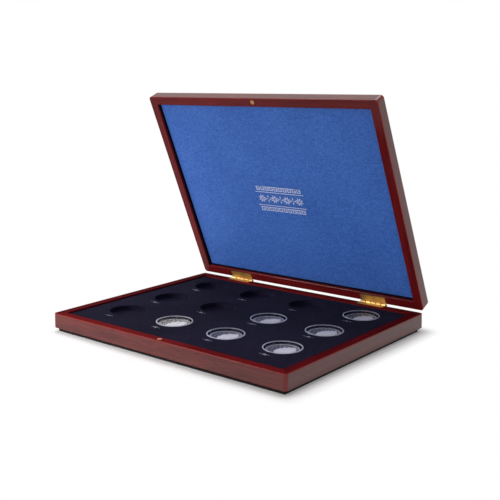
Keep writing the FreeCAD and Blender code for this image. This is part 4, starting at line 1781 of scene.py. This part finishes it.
@dataclass(frozen=True)
class Lamp:
    """A square soft lamp. Lengths are in metres.

    Attributes:
        name: The lamp's name.
        spot: Where it hangs.
        aim: What it points at.
        size: Length of its side.
        power: Its power in watts.
        fan: How widely its light fans out, in degrees.
    """

    name: str
    spot: Spot
    aim: Spot
    size: float
    power: float
    fan: float = 180.0

    def hang(self) -> None:
        """Puts the lamp into the scene."""
        light = bpy.data.lights.new(self.name, "AREA")
        light.spread = math.radians(self.fan)
        light.shape = "SQUARE"
        light.size = self.size
        light.energy = self.power
        lamp = add_object(self.name, light)
        lamp.location = self.spot
        lamp.rotation_euler = (Vector(self.aim) - Vector(self.spot)).to_track_quat("-Z", "Y").to_euler()


@dataclass
class Studio:
    """The floor, the lamps and the camera. Lengths are in metres.

    Attributes:
        eye: Where the camera stands.
        heading: Turn of the view from +Y towards +X, in degrees.
        pitch: How far the view looks down, in degrees.
        roll: Roll of the view, in degrees.
        lens: Focal length over a frame of 36 mm.
        shift: Sideways and upright shift of the frame.
        floor_size: Length of the floor's side.
        half_case: Half the width and depth of the case on the floor.
        fade: Distances from the case at which the floor starts to turn white and is white.
        floor_lift: Light added to the floor near the case.
        world_light: Strength of the plain light from all round.
        lamps: The lamps.
    """

    eye: Spot = (0.57699, -0.70699, 0.27123)
    heading: float = -40.672
    pitch: float = 4.568
    roll: float = -0.492
    lens: float = 63.190
    shift: tuple[float, float] = (0.0725, -0.21)
    floor_size: float = 12.0
    half_case: tuple[float, float] = (0.1525, 0.1225)
    fade: tuple[float, float] = (0.003, 0.018)
    floor_lift: float = 0.15
    world_light: float = 0.38
    lamps: tuple[Lamp, ...] = (
        Lamp("top", (-0.25, 0.42, 1.7), (0.0, 0.0, 0.05), 1.3, 18.0),
        Lamp("front", (-0.62, -0.86, 0.32), (-0.13, -0.02, 0.01), 0.3, 0.56, 42.0),
    )

    def backdrop(self) -> None:
        """A white world: plain light on the object, and full white to sight, gloss and glass."""
        world = bpy.data.worlds.new("studio")
        bpy.context.scene.world = world
        world.use_nodes = True
        wires = Wires(world.node_tree)
        background = world.node_tree.nodes["Background"]
        strength = wires.between(wires.seen(), 0.0, 1.0, self.world_light, 1.0)
        wires.fill(background, Color=(1.0, 1.0, 1.0, 1.0), Strength=strength)

    def floor(self) -> None:
        """Lays a pale floor that keeps the shadow near the case, and is white to sight further out.

        The distance from the case is sqrt(x^2 + y^2), where x and y are how far a place lies beyond the
        case's sides. Over the fade, the lit floor gives way to a plain white light of its own.
        """
        mesh = bpy.data.meshes.new("floor")
        corners = [(x * self.floor_size, y * self.floor_size, 0.0) for x, y in UNIT_SQUARE.tolist()]
        mesh.from_pydata(corners, [], [(0, 1, 2, 3)])
        floor = add_object("floor", mesh)
        material, wires, shader = new_material("pale_floor")
        wires.fill(shader, Base_Color=(0.9, 0.9, 0.9, 1.0), Roughness=0.9, Specular_IOR_Level=0.0)
        seen = wires.seen()
        beyond = [
            wires.math("MAXIMUM", wires.math("SUBTRACT", wires.math("ABSOLUTE", spot), half), 0.0)
            for spot, half in zip(wires.split(object_vector(wires)), self.half_case)
        ]
        far = wires.between(wires.length(*beyond), *self.fade)
        lift = wires.math("MULTIPLY", seen, wires.between(far, 0.0, 1.0, self.floor_lift, 1.0))
        glow, nothing = (wires.apply("ShaderNodeEmission", (1.0, 1.0, 1.0, 1.0), power) for power in (lift, 0.0))
        near = wires.apply("ShaderNodeMixShader", wires.math("MULTIPLY", far, seen), shader.outputs[0], nothing)
        show(material, wires, wires.apply("ShaderNodeAddShader", near, glow))
        dress(floor, material)

    def camera(self) -> None:
        """Puts the camera at the photograph's viewing angle.

        With a heading h and a pitch p, it looks along (sin h cos p, cos h cos p, -sin p), and the roll turns
        it about that line.
        """
        turn, tilt, roll = (math.radians(a) for a in (self.heading, self.pitch, self.roll))
        forward = Vector((math.sin(turn) * math.cos(tilt), math.cos(turn) * math.cos(tilt), -math.sin(tilt)))
        right = Vector((math.cos(turn), -math.sin(turn), 0.0))
        up = right.cross(forward)
        level = right * math.cos(roll) + up * math.sin(roll)
        upright = up * math.cos(roll) - right * math.sin(roll)
        data = bpy.data.cameras.new("camera")
        data.lens = self.lens
        data.sensor_width = 36.0
        data.shift_x, data.shift_y = self.shift
        data.clip_start, data.clip_end = 0.01, 50.0
        data.dof.use_dof = False
        camera = add_object("camera", data)
        axes = Matrix((level, upright, -forward)).transposed()
        camera.matrix_world = Matrix.Translation(self.eye) @ axes.to_4x4()
        bpy.context.scene.camera = camera

    def build(self) -> None:
        """Makes the whole studio."""
        bpy.context.scene.view_settings.view_transform = "Standard"
        self.backdrop()
        self.floor()
        for lamp in self.lamps:
            lamp.hang()
        self.camera()


def clear_start_scene() -> None:
    """Removes what a new file holds."""
    for thing in list(bpy.data.objects):
        bpy.data.objects.remove(thing)


def main() -> None:
    """Builds the case's pieces in order."""
    logging.basicConfig(level=logging.INFO, format="%(message)s")
    clear_start_scene()
    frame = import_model()
    case = Case.read(frame)
    finishes = Finishes(Groups(), case)
    slots = {row["node"]: row["material_slot"] for row in frame["record"]["subparts"]}
    Cabinet(finishes, frame["nodes"], slots).build()
    VelvetTray(finishes).build()
    LidLining(finishes, case).build()
    for order, well in enumerate(case.filled_wells()):
        Capsule(finishes, well, petals=FAN_PETALS[order % len(FAN_PETALS)]).build()
    Studio().build()


if __name__ == "__main__":
    main()
